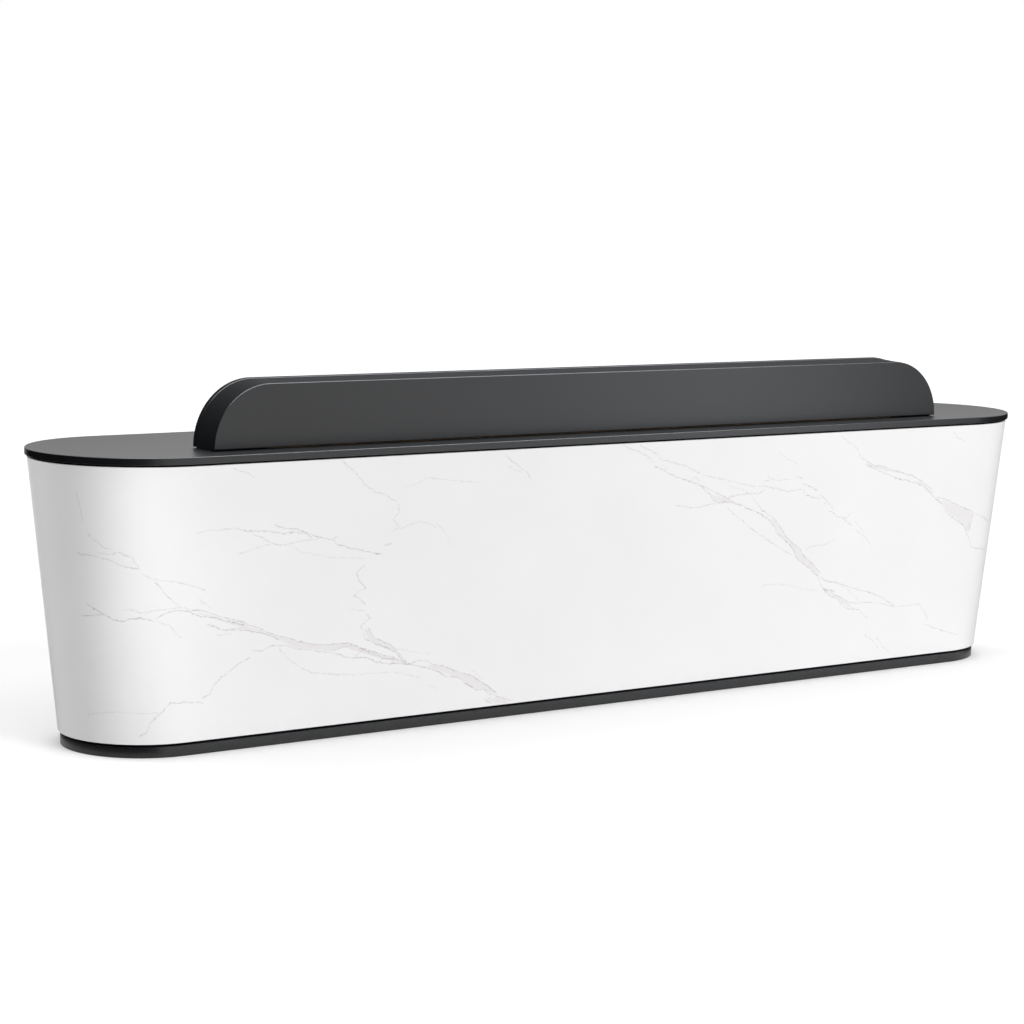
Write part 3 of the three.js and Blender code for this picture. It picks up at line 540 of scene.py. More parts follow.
def plywood(colours):
    """Raw birch plywood, rotary cut and sanded.

    It gives a pale yellow-brown face with long wavy grain and no shine.
    """
    name = "Birch plywood, sanded"
    if name in bpy.data.materials:
        return bpy.data.materials[name]
    material, tree = blank_material(name)
    place = add_node(tree, "ShaderNodeTexCoord").outputs["Object"]
    # Grain lines are about 12 mm apart and ten times as long as they are wide
    stretched = add_node(tree, "ShaderNodeMapping", {"Vector": place, "Scale": (0.1, 1.0, 1.0)})
    grain = add_node(
        tree, "ShaderNodeTexNoise",
        {"Vector": stretched, "Scale": 1 / (12 * MM), "Detail": 5.0, "Distortion": 0.6})
    shade = add_node(tree, "ShaderNodeValToRGB", {"Fac": grain})
    dark, light = shade.color_ramp.elements
    dark.position, dark.color = 0.35, opaque(colours.plywood_grain)
    light.position, light.color = 0.6, opaque(colours.plywood)
    relief = add_node(tree, "ShaderNodeBump", {"Height": grain, "Strength": 0.15, "Distance": 0.2 * MM})
    gloss = add_node(tree, "ShaderNodeMapRange", {"Value": grain, "To Min": 0.6, "To Max": 0.75})
    coat(tree, Base_Color=shade, Roughness=gloss, Normal=relief, IOR=1.5)
    return material


def zinc_plated_steel(colours):
    """Pressed or turned steel with bright zinc plating.

    It gives a cool grey metal with a slightly cloudy, drawn sheen.
    """
    name = "Zinc-plated steel, drawn"
    if name in bpy.data.materials:
        return bpy.data.materials[name]
    material, tree = blank_material(name)
    place = add_node(tree, "ShaderNodeTexCoord").outputs["Object"]
    # Drawing lines are about 0.3 mm apart and are drawn at 1 mm so that they show
    stretched = add_node(tree, "ShaderNodeMapping", {"Vector": place, "Scale": (1.0, 0.05, 1.0)})
    drawn = add_node(tree, "ShaderNodeTexNoise", {"Vector": stretched, "Scale": 1 / (1 * MM), "Detail": 2.0})
    shade = add_node(tree, "ShaderNodeValToRGB", {"Fac": drawn})
    dark, light = shade.color_ramp.elements
    dark.position, dark.color = 0.3, opaque([0.85 * c for c in colours.zinc])
    light.position, light.color = 0.7, opaque(colours.zinc)
    gloss = add_node(tree, "ShaderNodeMapRange", {"Value": drawn, "To Min": 0.42, "To Max": 0.55})
    coat(tree, Base_Color=shade, Roughness=gloss, Metallic=1.0)
    return material


def powder_coat(colours):
    """Powder-coated steel bar.

    It gives a black with a soft sheen and the shallow dimples of baked powder.
    """
    name = "Black powder coat, baked"
    if name in bpy.data.materials:
        return bpy.data.materials[name]
    material, tree = blank_material(name)
    place = add_node(tree, "ShaderNodeTexCoord").outputs["Object"]
    # Dimples of baked powder are about 1.5 mm apart
    dimples = add_node(tree, "ShaderNodeTexNoise", {"Vector": place, "Scale": 1 / (1.5 * MM), "Detail": 1.0})
    shade = add_node(tree, "ShaderNodeValToRGB", {"Fac": dimples})
    dark, light = shade.color_ramp.elements
    dark.position, dark.color = 0.3, opaque([0.85 * c for c in colours.powder_coat])
    light.position, light.color = 0.7, opaque([1.15 * c for c in colours.powder_coat])
    gloss = add_node(tree, "ShaderNodeMapRange", {"Value": dimples, "To Min": 0.34, "To Max": 0.46})
    relief = add_node(tree, "ShaderNodeBump", {"Height": dimples, "Strength": 0.2, "Distance": 0.1 * MM})
    coat(tree, Base_Color=shade, Roughness=gloss, Normal=relief, IOR=1.5)
    return material


def moulded_plastic(colours):
    """Injection-moulded ABS with a spark-eroded texture.

    It gives a dull black with a fine even grain.
    """
    name = "Black ABS, moulded grain"
    if name in bpy.data.materials:
        return bpy.data.materials[name]
    material, tree = blank_material(name)
    place = add_node(tree, "ShaderNodeTexCoord").outputs["Object"]
    # Spark-eroded grain is about 0.2 mm wide and is drawn at 0.8 mm so that it shows
    grain = add_node(tree, "ShaderNodeTexNoise", {"Vector": place, "Scale": 1 / (0.8 * MM), "Detail": 2.0})
    shade = add_node(tree, "ShaderNodeValToRGB", {"Fac": grain})
    dark, light = shade.color_ramp.elements
    dark.position, dark.color = 0.3, opaque([0.85 * c for c in colours.moulded_black])
    light.position, light.color = 0.7, opaque([1.2 * c for c in colours.moulded_black])
    gloss = add_node(tree, "ShaderNodeMapRange", {"Value": grain, "To Min": 0.45, "To Max": 0.6})
    relief = add_node(tree, "ShaderNodeBump", {"Height": grain, "Strength": 0.15, "Distance": 0.1 * MM})
    coat(tree, Base_Color=shade, Roughness=gloss, Normal=relief, IOR=1.53)
    return material


def skin(bm, loops, ring=True, caps=True):
    """Faces between loops of equally many points, closed along each loop and capped at the first and the last."""
    rows = [[bm.verts.new(point) for point in loop] for loop in loops]
    for low, high in zip(rows, rows[1:]):
        for i in range(len(low) if ring else len(low) - 1):
            j = (i + 1) % len(low)
            bm.faces.new((low[i], low[j], high[j], high[i]))
    if caps:
        bm.faces.new(rows[0])
        bm.faces.new(rows[-1])
    return rows


def mesh_object(name, bm):
    """Object of a mesh with its faces turned outwards and shaded smooth but for the sharp edges."""
    bmesh.ops.recalc_face_normals(bm, faces=bm.faces[:])
    mesh = bpy.data.meshes.new(name)
    bm.to_mesh(mesh)
    bm.free()
    mesh.shade_smooth()
    piece = bpy.data.objects.new(name, mesh)
    bpy.context.scene.collection.objects.link(piece)
    return piece


def carve(piece, cutter):
    """Takes the cutter's form out of a piece and removes the cutter."""
    cut = piece.modifiers.new("cut", "BOOLEAN")
    cut.object = cutter
    graph = bpy.context.evaluated_depsgraph_get()
    carved = bpy.data.meshes.new_from_object(piece.evaluated_get(graph))
    piece.modifiers.clear()
    piece.data = carved
    bpy.data.objects.remove(cutter)


def seat(piece, finish, slot, body, *nodes):
    """Gives a piece its finish and puts it on its body in place of the CAD nodes it stands for."""
    piece.data.set_sharp_from_angle(angle=math.radians(40))
    piece.data.materials.clear()
    piece.data.materials.append(finish)
    shading = piece.modifiers.new("even_shading", "WEIGHTED_NORMAL")
    shading.keep_sharp = True
    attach(piece, body)
    if nodes:
        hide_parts(*nodes)
    return piece


def band(piece, finish, chosen):
    """Gives a second finish to those faces of a piece that a test chooses."""
    piece.data.materials.append(finish)
    for face in piece.data.polygons:
        if chosen(face):
            face.material_index = 1


def dress(names, finish, arris, steps=2):
    """Gives CAD nodes a finish and rounds their arrises."""
    for name in names:
        node = NODES[name]
        node.data.materials.clear()
        node.data.materials.append(finish)
        corners = node.modifiers.new("joined_corners", "WELD")
        corners.merge_threshold = 0.01 * MM
        edge = node.modifiers.new("arris", "BEVEL")
        edge.width = arris
        edge.segments = steps
        edge.limit_method = "ANGLE"
        edge.angle_limit = math.radians(35)
        edge.harden_normals = True


def rounded_edge(thickness, arris):
    """Insets and heights up the edge of a board, with both arrises rounded."""
    turns = [math.radians(90 * i / ARRIS_STEPS) for i in range(ARRIS_STEPS + 1)]
    low = [(arris * (1 - math.sin(a)), arris * (1 - math.cos(a))) for a in turns]
    high = [(inset, thickness - height) for inset, height in reversed(low)]
    return low + high


def arc(centre, radius, start, end, steps):
    """Points of an arc between two angles in degrees, both ends included."""
    turns = [math.radians(start + (end - start) * i / steps) for i in range(steps + 1)]
    return [(centre[0] + radius * math.cos(a), centre[1] + radius * math.sin(a)) for a in turns]


def round_ended(radius):
    """Outline in plan of a slab with half-round ends."""
    right = arc((STRAIGHT_HALF, 0.0), radius, -90, 90, END_STEPS)
    left = arc((-STRAIGHT_HALF, 0.0), radius, 90, 270, END_STEPS)
    return right + left


def wall_stations():
    """Places round the visitor's side of the desk, from the left end's rear to the right end's rear.

    Each is the point that the wall turns about, the direction it faces and the place on the unrolled sheet.
    """
    stations = []
    for side in (-1, 1):
        turns = [math.pi * i / END_STEPS for i in range(END_STEPS + 1)]
        for turn in reversed(turns) if side < 0 else turns:
            axis = Vector((side * STRAIGHT_HALF, 0.0, 0.0))
            facing = Vector((side * math.sin(turn), -math.cos(turn), 0.0))
            stations.append((axis, facing, side * (STRAIGHT_HALF + SHEET_RADIUS * turn)))
    return stations


def reach(node, level):
    """How far a CAD node reaches towards the visitor at one level."""
    return max(-v.co.y for v in NODES[node].data.vertices if abs(v.co.z - level) < 0.1 * MM)


def turned_piece(name, profile, centre):
    """Piece turned about an upright axis from a closed outline of radii and heights."""
    bm = bmesh.new()
    loops = []
    for i in range(TURN_STEPS):
        turn = 2 * math.pi * i / TURN_STEPS
        out = Vector((math.cos(turn), math.sin(turn), 0.0))
        loops.append([out * radius + Vector((0.0, 0.0, height)) for radius, height in profile])
    skin(bm, loops + loops[:1], caps=False)
    bmesh.ops.remove_doubles(bm, verts=bm.verts[:], dist=0.001 * MM)
    piece = mesh_object(name, bm)
    piece.data.transform(Matrix.Translation(centre))
    return piece


def block(name, low, high):
    """Plain box between two corners, used to cut with."""
    bm = bmesh.new()
    bmesh.ops.create_cube(bm, size=1.0)
    middle = (Vector(low) + Vector(high)) / 2
    span = Vector(high) - Vector(low)
    bm.transform(Matrix.Translation(middle) @ Matrix.Diagonal((*span, 1.0)))
    return mesh_object(name, bm)


class DeskOperator:
    """What all of the desk's operators share."""

    bl_options = {"REGISTER", "UNDO"}

    def execute(self, context):
        self.build(context.scene.desk_sizes, context.scene.desk_colours)
        return {"FINISHED"}


class DESK_OT_cladding(DeskOperator, bpy.types.Operator):
    """Wraps the leaning wall in one seamless marble sheet"""

    bl_idname = "desk.cladding"
    bl_label = "Marble cladding"

    def build(self, sizes, colours):
        low, high = SHEET_LOW.z, SHEET_HIGH.z
        foot, head = reach("cladding_front", low), reach("cladding_front", high)
        lean = (head - foot) / (high - low)
        arris, thickness = sizes.sheet_arris, sizes.sheet_thickness
        profile = [(foot - thickness, low)]
        for inset, height in rounded_edge(high - low, arris):
            profile.append((foot + lean * height - inset, low + height))
        profile.append((head - thickness, high))
        bm = bmesh.new()
        stations = wall_stations()
        loops = [[axis + facing * out + Vector((0, 0, z)) for out, z in profile] for axis, facing, _ in stations]
        rows = skin(bm, loops)
        place = {vertex: along for row, (_, _, along) in zip(rows, stations) for vertex in row}
        sheet = bm.loops.layers.uv.new("sheet")
        for face in bm.faces:
            for corner in face.loops:
                corner[sheet].uv = (place[corner.vert], corner.vert.co.z)
        piece = mesh_object("marble_cladding", bm)
        nodes = ("cladding_front", "cladding_left_end", "cladding_right_end")
        seat(piece, marble_sheet(colours, sizes), "marble_sheet", "desk", *nodes)


class DESK_OT_worktop(DeskOperator, bpy.types.Operator):
    """Lays the black round-ended worktop with its two cable holes"""

    bl_idname = "desk.worktop"
    bl_label = "Worktop"

    def build(self, sizes, colours):
        bm = bmesh.new()
        loops = []
        gap, recess = sizes.worktop_gap, sizes.gap_depth
        profile = [(recess, 0.0), (recess, gap)]
        profile += [(inset, gap + h) for inset, h in rounded_edge(TOP_HIGH.z - TOP_LOW.z - gap, sizes.worktop_arris)]
        for inset, height in profile:
            outline = round_ended(END_RADIUS - inset)
            loops.append([Vector((x, y, TOP_LOW.z + height)) for x, y in outline])
        skin(bm, loops)
        piece = mesh_object("worktop_slab", bm)
        for side in ("left", "right"):
            low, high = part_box(f"{side}_grommet")
            hole = max(v.co.x for v in NODES[f"{side}_grommet"].data.vertices if v.co.z < TOP_LOW.z + 1 * MM)
            radius = hole - (low.x + high.x) / 2
            profile = [(0.0, -0.1), (radius, -0.1), (radius, 0.1), (0.0, 0.1)]
            carve(piece, turned_piece("hole", profile, ((low.x + high.x) / 2, (low.y + high.y) / 2, TOP_HIGH.z)))
        seat(piece, black_laminate(colours), "black_laminate", "desk", "worktop")
        # The faces in the gap under the worktop's edge take the black without sheen, as painted shade
        band(piece, painted_shade_black(colours), lambda face: face.center.z < TOP_LOW.z + 0.6 * gap)


class DESK_OT_screen(DeskOperator, bpy.types.Operator):
    """Stands the low screen on the worktop: two boards and the bent skin between them"""

    bl_idname = "desk.screen"
    bl_label = "Screen"

    def build(self, sizes, colours):
        finish, dull = black_laminate(colours), black_skin(colours)
        face_low, face_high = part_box("screen_front_panel")
        back_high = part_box("screen_rear_panel")[1]
        wrap_low, wrap_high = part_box("screen_top_wrap")
        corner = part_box("screen_base_rail")[0].x - wrap_low.x
        base = face_low.z
        slope = (back_high.z - face_high.z) / (back_high.y - face_high.y)
        head = face_high.z - slope * (face_high.y - face_low.y)

        def growth(y):
            """How much taller the screen is here than at its face, because its top slopes up to the rear."""
            return 1 + slope * (y - face_low.y) / (head - base)

        def sloped(x, y, z):
            return Vector((x, y, base + (z - base) * growth(y)))

        for name, node in (("screen_face_board", "screen_front_panel"), ("screen_back_board", "screen_rear_panel")):
            low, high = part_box(node)
            radius = corner + wrap_low.x - low.x
            bm = bmesh.new()
            loops = []
            for inset, depth in rounded_edge(high.y - low.y, sizes.screen_arris):
                foot = base + sizes.screen_gap + inset
                outline = self.arch(low.x + inset, high.x - inset, foot, head - inset, radius - inset)
                loops.append([sloped(x, low.y + depth, z) for x, z in outline])
            skin(bm, loops)
            piece = seat(mesh_object(name, bm), finish, "black_laminate", "desk", node)
            # Dull but for the front arris and the two faces that show
            band(piece, dull, lambda face: -0.15 < face.normal.y < 0.9)
        thickness = sizes.sheet_thickness
        top = base + (wrap_high.z - base) / growth(wrap_high.y)
        outer = self.arch(wrap_low.x, wrap_high.x, base, top, corner)
        inner = self.arch(wrap_low.x + thickness, wrap_high.x - thickness, base, top - thickness, corner - thickness)
        bm = bmesh.new()
        loops = []
        for (x, z), (inside_x, inside_z) in zip(outer, inner):
            loops.append([
                sloped(x, wrap_low.y, z), sloped(x, wrap_high.y, z),
                sloped(inside_x, wrap_high.y, inside_z), sloped(inside_x, wrap_low.y, inside_z)])
        skin(bm, loops)
        seat(mesh_object("screen_skin", bm), dull, "black_laminate", "desk", "screen_top_wrap")

    @staticmethod
    def arch(left, right, foot, head, radius):
        """Outline from the lower right corner over both round upper corners to the lower left."""
        over = arc((right - radius, head - radius), radius, 0, 90, CORNER_STEPS)
        over += arc((left + radius, head - radius), radius, 90, 180, CORNER_STEPS)
        return [(right, foot), *over, (left, foot)]


class DESK_OT_plinth(DeskOperator, bpy.types.Operator):
    """Runs the recessed black plinth round the visitor's side and under the rear of both pedestals"""

    bl_idname = "desk.plinth"
    bl_label = "Plinth"

    def build(self, sizes, colours):
        finish = black_laminate(colours)
        low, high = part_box("plinth_front")
        thickness = high.y - low.y
        gap, recess = sizes.plinth_gap, sizes.gap_depth
        profile = [(-low.y - thickness, low.z)]
        profile += [(-low.y - inset, low.z + h) for inset, h in rounded_edge(high.z - low.z - gap, sizes.plinth_arris)]
        profile += [(-low.y - recess, high.z - gap), (-low.y - recess, high.z), (-low.y - thickness, high.z)]
        bm = bmesh.new()
        skin(bm, [[a + f * out + Vector((0, 0, z)) for out, z in profile] for a, f, _ in wall_stations()])
        nodes = ("plinth_front", "plinth_left_end", "plinth_right_end")
        piece = seat(mesh_object("plinth_band", bm), finish, "black_laminate", "desk", *nodes)
        # The faces in the gap over the plinth take the black without sheen, as painted shade
        band(piece, painted_shade_black(colours), lambda face: face.center.z > high.z - 0.6 * gap)
        dress(("plinth_left_rear", "plinth_right_rear"), finish, sizes.plinth_arris)


class DESK_OT_carcass(DeskOperator, bpy.types.Operator):
    """Finishes the boards of the carcass behind the cladding, and the raw core inside it"""

    bl_idname = "desk.carcass"
    bl_label = "Carcass and core"

    def build(self, sizes, colours):
        white = melamine("White melamine, pressed satin", colours.white_board)
        sides = [f"{side}_{board}" for side in ("left", "right") for board in (
            "base_panel", "outer_gable", "inner_gable", "top_rail", "knee_rail")]
        dress([*sides, "centre_gable", "core_front"], white, sizes.board_arris)
        raw = plywood(colours)
        ends = [f"{side}_end_former" for side in ("left", "right")] + ["core_left_end", "core_right_end"]
        ribs = [name for name in NODES if name.startswith("screen_rib")]
        dress([*ends, *ribs, "screen_base_rail"], raw, sizes.metal_arris)


class DESK_OT_drawers(DeskOperator, bpy.types.Operator):
    """Finishes the three drawers, their runners and handles, and fits the lock of the top one"""

    bl_idname = "desk.drawers"
    bl_label = "Drawers"

    def build(self, sizes, colours):
        white = melamine("White melamine, pressed satin", colours.white_board)
        grey = melamine("Grey melamine, pressed satin", colours.grey_board)
        for drawer in ("bottom", "middle", "top"):
            dress([f"drawer_{drawer}_front"], white, sizes.board_arris)
            dress([f"drawer_{drawer}_box"], grey, sizes.board_arris)
            dress([f"drawer_{drawer}_handle"], powder_coat(colours), sizes.handle_arris, steps=4)
            runners = [f"drawer_{drawer}_runner_{side}" for side in ("left", "right")]
            dress(runners, zinc_plated_steel(colours), sizes.metal_arris)
        lock_barrel("drawer_lock", "top_drawer_lock", sizes, colours)


class DESK_OT_cupboard(DeskOperator, bpy.types.Operator):
    """Finishes the cupboard's door, shelf, handle and hinges, and fits its lock"""

    bl_idname = "desk.cupboard"
    bl_label = "Cupboard"

    def build(self, sizes, colours):
        white = melamine("White melamine, pressed satin", colours.white_board)
        zinc = zinc_plated_steel(colours)
        dress(("door_panel", "cupboard_shelf"), white, sizes.board_arris)
        dress(("door_handle",), powder_coat(colours), sizes.handle_arris, steps=4)
        for level in ("lower", "upper"):
            leaf = f"hinge_{level}_door_leaf"
            dress((leaf, f"hinge_{level}_gable_leaf"), zinc, sizes.metal_arris)
            self.screws(leaf, f"hinge_{level}_screws", sizes, zinc)
        lock_barrel("door_lock", "cupboard_lock", sizes, colours)

    @staticmethod
    def screws(leaf, name, sizes, finish):
        """Two domed screw heads on a hinge leaf, one over the other."""
        low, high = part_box(leaf)
        plate = min(v.co.y for v in NODES[leaf].data.vertices) + 2 * MM
        radius = sizes.screw_radius
        bm = bmesh.new()
        for share in (0.2, 0.8):
            centre = Vector((low.x + 2 * radius, plate, low.z + share * (high.z - low.z)))
            loops = []
            for scale, rise in ((1.0, 0.0), (0.95, 0.5), (0.75, 0.9), (0.45, 1.1), (0.42, 0.6), (0.05, 0.6)):
                ring = arc((centre.x, centre.z), radius * scale, 0, 345, 23)
                loops.append([Vector((x, centre.y + rise * MM, z)) for x, z in ring])
            skin(bm, loops)
        seat(mesh_object(name, bm), finish, "zinc_steel", "door")


def lock_barrel(node, body, sizes, colours):
    """Turned lock barrel with an upright keyway, riding on the body that the key turns."""
    low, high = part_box(node)
    centre = (low + high) / 2
    radius = (high.x - low.x) / 2
    length = high.y - low.y
    rim = 0.8 * MM
    dish = 0.4 * MM
    profile = [
        (0.0, 0.0), (radius - rim, 0.0), (radius - rim, 0.4 * length), (radius, 0.4 * length),
        (radius, length - rim), (radius - rim / 3, length - rim / 3), (radius - rim, length),
        (radius - 2 * rim, length), (radius - 2.5 * rim, length - dish), (0.0, length - dish)]
    piece = turned_piece(f"{node}_barrel", profile, (0.0, 0.0, 0.0))
    piece.data.transform(Matrix.Translation((centre.x, low.y, centre.z)) @ Matrix.Rotation(-math.pi / 2, 4, "X"))
    half = Vector((sizes.keyway_width / 2, 0.0, sizes.keyway_length / 2))
    face = Vector((centre.x, high.y, centre.z))
    depth = Vector((0.0, sizes.keyway_depth, 0.0))
    carve(piece, block("keyway", face - half - depth, face + half + depth))
    seat(piece, zinc_plated_steel(colours), "zinc_steel", body, node)


class DESK_OT_grommets(DeskOperator, bpy.types.Operator):
    """Fits the two cable grommets behind the screen, each with its turning cap"""

    bl_idname = "desk.grommets"
    bl_label = "Cable grommets"

    def build(self, sizes, colours):
        finish = moulded_plastic(colours)
        arris = sizes.plastic_arris
        for side in ("left", "right"):
            node = f"{side}_grommet"
            low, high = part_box(node)
            centre = (low + high) / 2
            radii = sorted({round((v.co.xy - centre.xy).length, 4) for v in NODES[node].data.vertices})
            throat, bore, sleeve, rim = radii[0], radii[1], radii[2], radii[3]
            cap_low, cap_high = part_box(f"{node}_cap")
            ledge = cap_low.z - 0.3 * MM
            brim = TOP_HIGH.z + 0.3 * MM
            profile = [
                (throat, low.z), (sleeve, low.z), (sleeve, brim), (rim, brim), (rim, high.z - 2 * arris),
                (rim - 0.3 * arris, high.z - arris), (rim - 1.2 * arris, high.z - 0.3 * arris),
                (rim - 3 * arris, high.z), (bore + 0.4 * arris, high.z), (bore, high.z - 0.4 * arris),
                (bore, ledge), (throat, ledge)]
            ring = turned_piece(f"{node}_sleeve", profile, (centre.x, centre.y, 0.0))
            seat(ring, finish, "black_plastic", "desk", node)
            cap_radius = (cap_high.x - cap_low.x) / 2
            dish = 0.6 * MM
            profile = [
                (0.0, cap_low.z), (cap_radius, cap_low.z), (cap_radius, cap_high.z - arris),
                (cap_radius - 0.3 * arris, cap_high.z - 0.3 * arris), (cap_radius - arris, cap_high.z),
                (0.8 * cap_radius, cap_high.z), (0.74 * cap_radius, cap_high.z - dish), (0.0, cap_high.z - dish)]
            cap = turned_piece(f"{node}_turning_cap", profile, (centre.x, centre.y, 0.0))
            notch = 9 * MM
            inner = 10.2 * MM
            carve(cap, block(
                "notch", (centre.x - notch, centre.y + inner, low.z), (centre.x + notch, centre.y + rim, high.z + rim)))
            seat(cap, finish, "black_plastic", f"{side}_cap", f"{node}_cap")


class DESK_OT_stage(DeskOperator, bpy.types.Operator):
    """Sets the plain studio: floor, white surroundings, soft lamps and the camera"""

    bl_idname = "desk.stage"
    bl_label = "Studio"

    def build(self, sizes, colours):
        scene = bpy.context.scene
        scene.view_settings.view_transform = "Standard"
        self.floor(colours)
        # A full height of cloth from the left rear to the camera, and a low one from the right front to the rear
        cloth = self.cloth(colours)
        self.drape("left_drape", (-STRAIGHT_HALF, 0.0), 90, 255, 6.0, cloth)
        self.drape("right_drape", (STRAIGHT_HALF, 0.0), -50, 110, 1.4, cloth)
        self.surroundings(scene)
        # Five soft lamps light the surfaces, and two more give only the gleam along the black edges and the screen
        self.far_lamp("front_key", azimuth=20, elevation=20, light=1.81)
        self.far_lamp("rear_fill", azimuth=-150, elevation=15, light=1.46)
        self.soft_box("left_box", (-2.6, -0.25, 0.6), (-1.5, 0.0, 0.4), (0.8, 1.0), 0.5)
        self.soft_box("left_strip", (-1.53, -0.4, 0.42), (-1.3, 0.0, 0.4), (0.1, 0.7), 1.0)
        self.soft_box("right_box", (2.2, -2.45, 0.9), (1.0, -0.2, 0.6), (1.2, 1.6), 1.7)
        self.soft_box("right_gleam", (2.85, -3.2, 0.8), (0.4, -0.2, 0.8), (0.8, 1.6), 2.15, gleam=True)
        self.soft_box("top_gleam", (0.0, -0.5, 2.8), (0.0, -0.5, 0.0), (4.6, 1.2), 11.0, gleam=True)
        self.camera(scene)

    @staticmethod
    def background_rays(tree):
        """1 for the rays that should see a white background: from the camera, and off gloss and through glass."""
        path = add_node(tree, "ShaderNodeLightPath").outputs
        seen = add_node(
            tree, "ShaderNodeMath", {0: path["Is Camera Ray"], 1: path["Is Glossy Ray"]}, operation="MAXIMUM")
        return add_node(
            tree, "ShaderNodeMath", {0: seen, 1: path["Is Transmission Ray"]}, operation="MAXIMUM")

    def floor(self, colours):
        """Wide pale floor, lifted to white where the camera sees it, but for a painted shade along the plinth."""
        half = 40.0
        near, far = ([Vector((x, y, 0.0)) for x in (-half, half)] for y in (-half, half))
        bm = bmesh.new()
        skin(bm, [near, far], ring=False, caps=False)
        floor = mesh_object("studio_floor", bm)
        material, tree = blank_material("Studio floor, matt paint")
        paint = add_node(tree, "ShaderNodeBsdfDiffuse", {"Color": opaque(colours.floor)})
        # The lift gives way within 800 mm of the desk by ambient occlusion, which paints a shade along the plinth
        painted_contact_shade = add_node(tree, "ShaderNodeAmbientOcclusion", {"Distance": 800 * MM}, samples=8)
        lift = add_node(tree, "ShaderNodeMapRange", {"Value": self.background_rays(tree), "To Max": 0.64})
        kept = add_node(tree, "ShaderNodeMath", {0: lift, 1: painted_contact_shade.outputs["AO"]}, operation="MULTIPLY")
        glow = add_node(tree, "ShaderNodeEmission", {"Strength": kept})
        both = add_node(tree, "ShaderNodeAddShader", {0: paint, 1: glow})
        tree.links.new(both.outputs[0], tree.nodes["Material Output"].inputs["Surface"])
        floor.data.materials.append(material)

    @staticmethod
    def cloth(colours):
        """Black cloth that takes all light. It keeps the white of the studio out of some reflections."""
        material, tree = blank_material("Studio drape, black cloth")
        weave = add_node(tree, "ShaderNodeBsdfDiffuse", {"Color": opaque(colours.drape)})
        tree.links.new(weave.outputs[0], tree.nodes["Material Output"].inputs["Surface"])
        return material

    @staticmethod
    def drape(name, centre, start, end, height, cloth):
        """Cloth hung round one end of the desk and laid on the floor up to the plinth, which only reflections show."""
        near, far, floor = 0.25, 4.0, 3 * MM
        bm = bmesh.new()
        loops = []
        for radius, level in ((near, floor), (far, floor), (far, height)):
            loops.append([Vector((x, y, level)) for x, y in arc(centre, radius, start, end, END_STEPS)])
        skin(bm, loops, ring=False, caps=False)
        drape = mesh_object(name, bm)
        drape.data.materials.append(cloth)
        drape.visible_camera = False
        drape.visible_diffuse = False
        drape.visible_transmission = False
        drape.visible_shadow = False

    def surroundings(self, scene):
        """White to the camera and in reflections, and a dimmer even light on the desk."""
        world = bpy.data.worlds.new("Studio surroundings")
        world.use_nodes = True
        tree = world.node_tree
        tree.nodes.clear()
        strength = add_node(
            tree, "ShaderNodeMapRange", {"Value": self.background_rays(tree), "To Min": 0.3, "To Max": 1.0})
        sky = add_node(tree, "ShaderNodeBackground", {"Color": (1.0, 1.0, 1.0, 1.0), "Strength": strength})
        output = add_node(tree, "ShaderNodeOutputWorld")
        tree.links.new(sky.outputs[0], output.inputs["Surface"])
        scene.world = world

    @staticmethod
    def hang(name, source, place, aim, gleam):
        """Hangs a lamp that lights either the surfaces or, as a gleam, only what is reflected in them."""
        lamp = bpy.data.objects.new(name, source)
        lamp.location = place
        lamp.rotation_euler = (Vector(place) - Vector(aim)).to_track_quat("Z", "Y").to_euler()
        lamp.visible_camera = False
        lamp.visible_glossy = gleam
        lamp.visible_diffuse = not gleam
        bpy.context.scene.collection.objects.link(lamp)

    def far_lamp(self, name, azimuth, elevation, light):
        """Large soft lamp, far off, that falls evenly. Azimuth 0 is in front of the desk, and 90 to its right."""
        turn, rise = math.radians(azimuth), math.radians(elevation)
        out = Vector((math.sin(turn) * math.cos(rise), -math.cos(turn) * math.cos(rise), math.sin(rise)))
        source = bpy.data.lights.new(name, "SUN")
        source.energy = light
        source.angle = math.radians(30)
        self.hang(name, source, 6 * out, (0.0, 0.0, 0.0), False)

    def soft_box(self, name, place, aim, size, brightness, gleam=False):
        """Soft box of a width and a height near the desk. Brightness 1 is that of the white surroundings."""
        colours = bpy.context.scene.desk_colours
        source = bpy.data.lights.new(name, "AREA")
        source.shape = "RECTANGLE"
        source.size, source.size_y = size
        source.energy = brightness * math.pi * size[0] * size[1]
        if gleam:
            source.color = colours.gleam
        self.hang(name, source, place, aim, gleam)

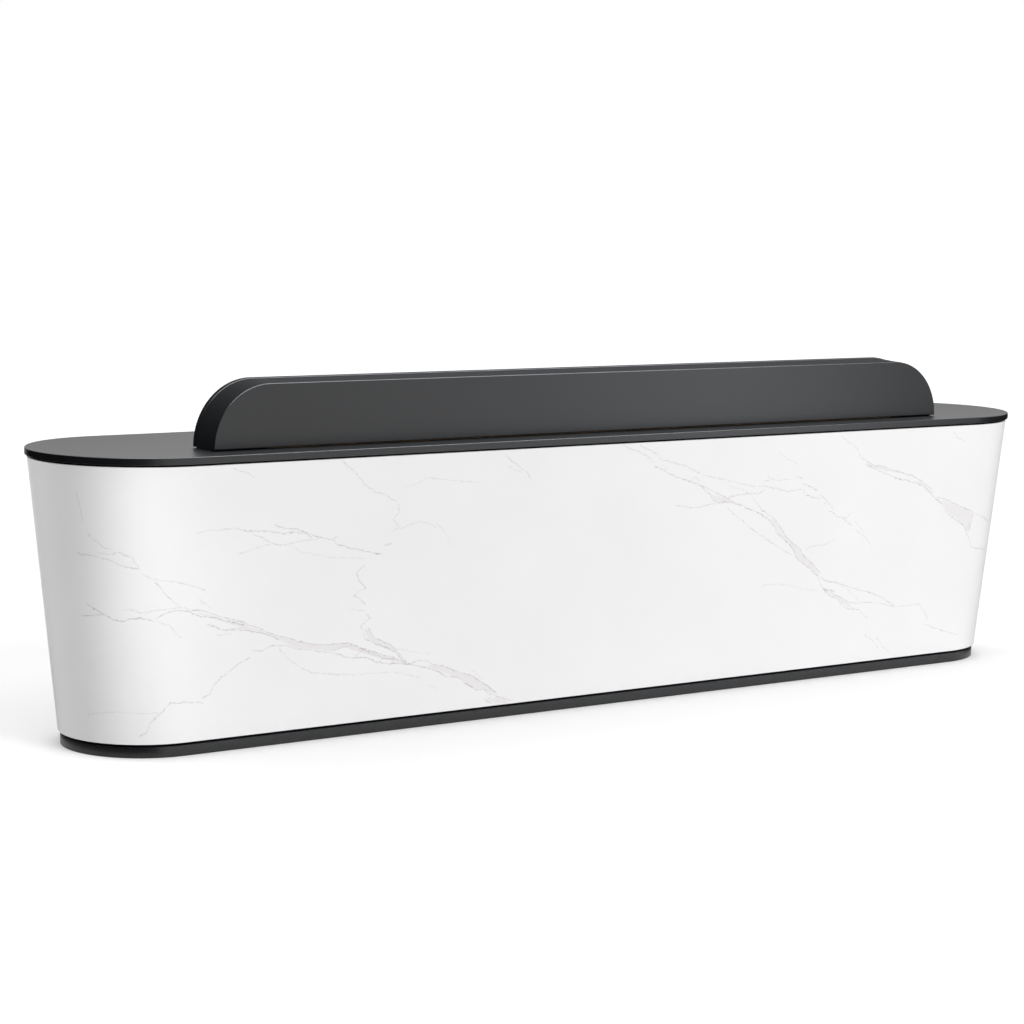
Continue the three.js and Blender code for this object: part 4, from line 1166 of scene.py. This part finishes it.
    @staticmethod
    def camera(scene):
        """Camera at the photograph's place, aim and lens."""
        yaw, pitch, roll = map(math.radians, (CAMERA_YAW, CAMERA_PITCH, CAMERA_ROLL))
        ahead = Vector((math.sin(yaw) * math.cos(pitch), math.cos(yaw) * math.cos(pitch), math.sin(pitch)))
        right = Vector((math.cos(yaw), -math.sin(yaw), 0.0))
        up = right.cross(ahead)
        across = right * math.cos(roll) + up * math.sin(roll)
        upward = up * math.cos(roll) - right * math.sin(roll)
        data = bpy.data.cameras.new("photograph_view")
        data.lens = CAMERA_LENS
        data.sensor_width = SENSOR_WIDTH
        camera = bpy.data.objects.new("photograph_view", data)
        turn = Matrix((across, upward, -ahead)).transposed().to_4x4()
        camera.matrix_world = Matrix.Translation(CAMERA_PLACE) @ turn
        scene.collection.objects.link(camera)
        scene.camera = camera


class DESK_PT_panel(bpy.types.Panel):
    """Lists the desk's pieces, sizes and colours"""

    bl_idname = "DESK_PT_panel"
    bl_label = "Reception desk"
    bl_space_type = "VIEW_3D"
    bl_region_type = "UI"
    bl_category = "Reception desk"

    def draw(self, context):
        for operator in OPERATORS:
            self.layout.operator(operator.bl_idname)
        for group in (context.scene.desk_sizes, context.scene.desk_colours):
            box = self.layout.box()
            for name in group.__annotations__:
                box.prop(group, name)


OPERATORS = (
    DESK_OT_cladding,
    DESK_OT_worktop,
    DESK_OT_screen,
    DESK_OT_plinth,
    DESK_OT_carcass,
    DESK_OT_drawers,
    DESK_OT_cupboard,
    DESK_OT_grommets,
    DESK_OT_stage,
)
CLASSES = (DeskSizes, DeskColours, *OPERATORS, DESK_PT_panel)


def register():
    for kind in CLASSES:
        bpy.utils.register_class(kind)
    bpy.types.Scene.desk_sizes = bpy.props.PointerProperty(type=DeskSizes)
    bpy.types.Scene.desk_colours = bpy.props.PointerProperty(type=DeskColours)


def unregister():
    del bpy.types.Scene.desk_colours
    del bpy.types.Scene.desk_sizes
    for kind in reversed(CLASSES):
        bpy.utils.unregister_class(kind)


def main():
    register()
    bpy.ops.desk.cladding()
    bpy.ops.desk.worktop()
    bpy.ops.desk.screen()
    bpy.ops.desk.plinth()
    bpy.ops.desk.carcass()
    bpy.ops.desk.drawers()
    bpy.ops.desk.cupboard()
    bpy.ops.desk.grommets()
    bpy.ops.desk.stage()


if __name__ == "__main__":
    main()
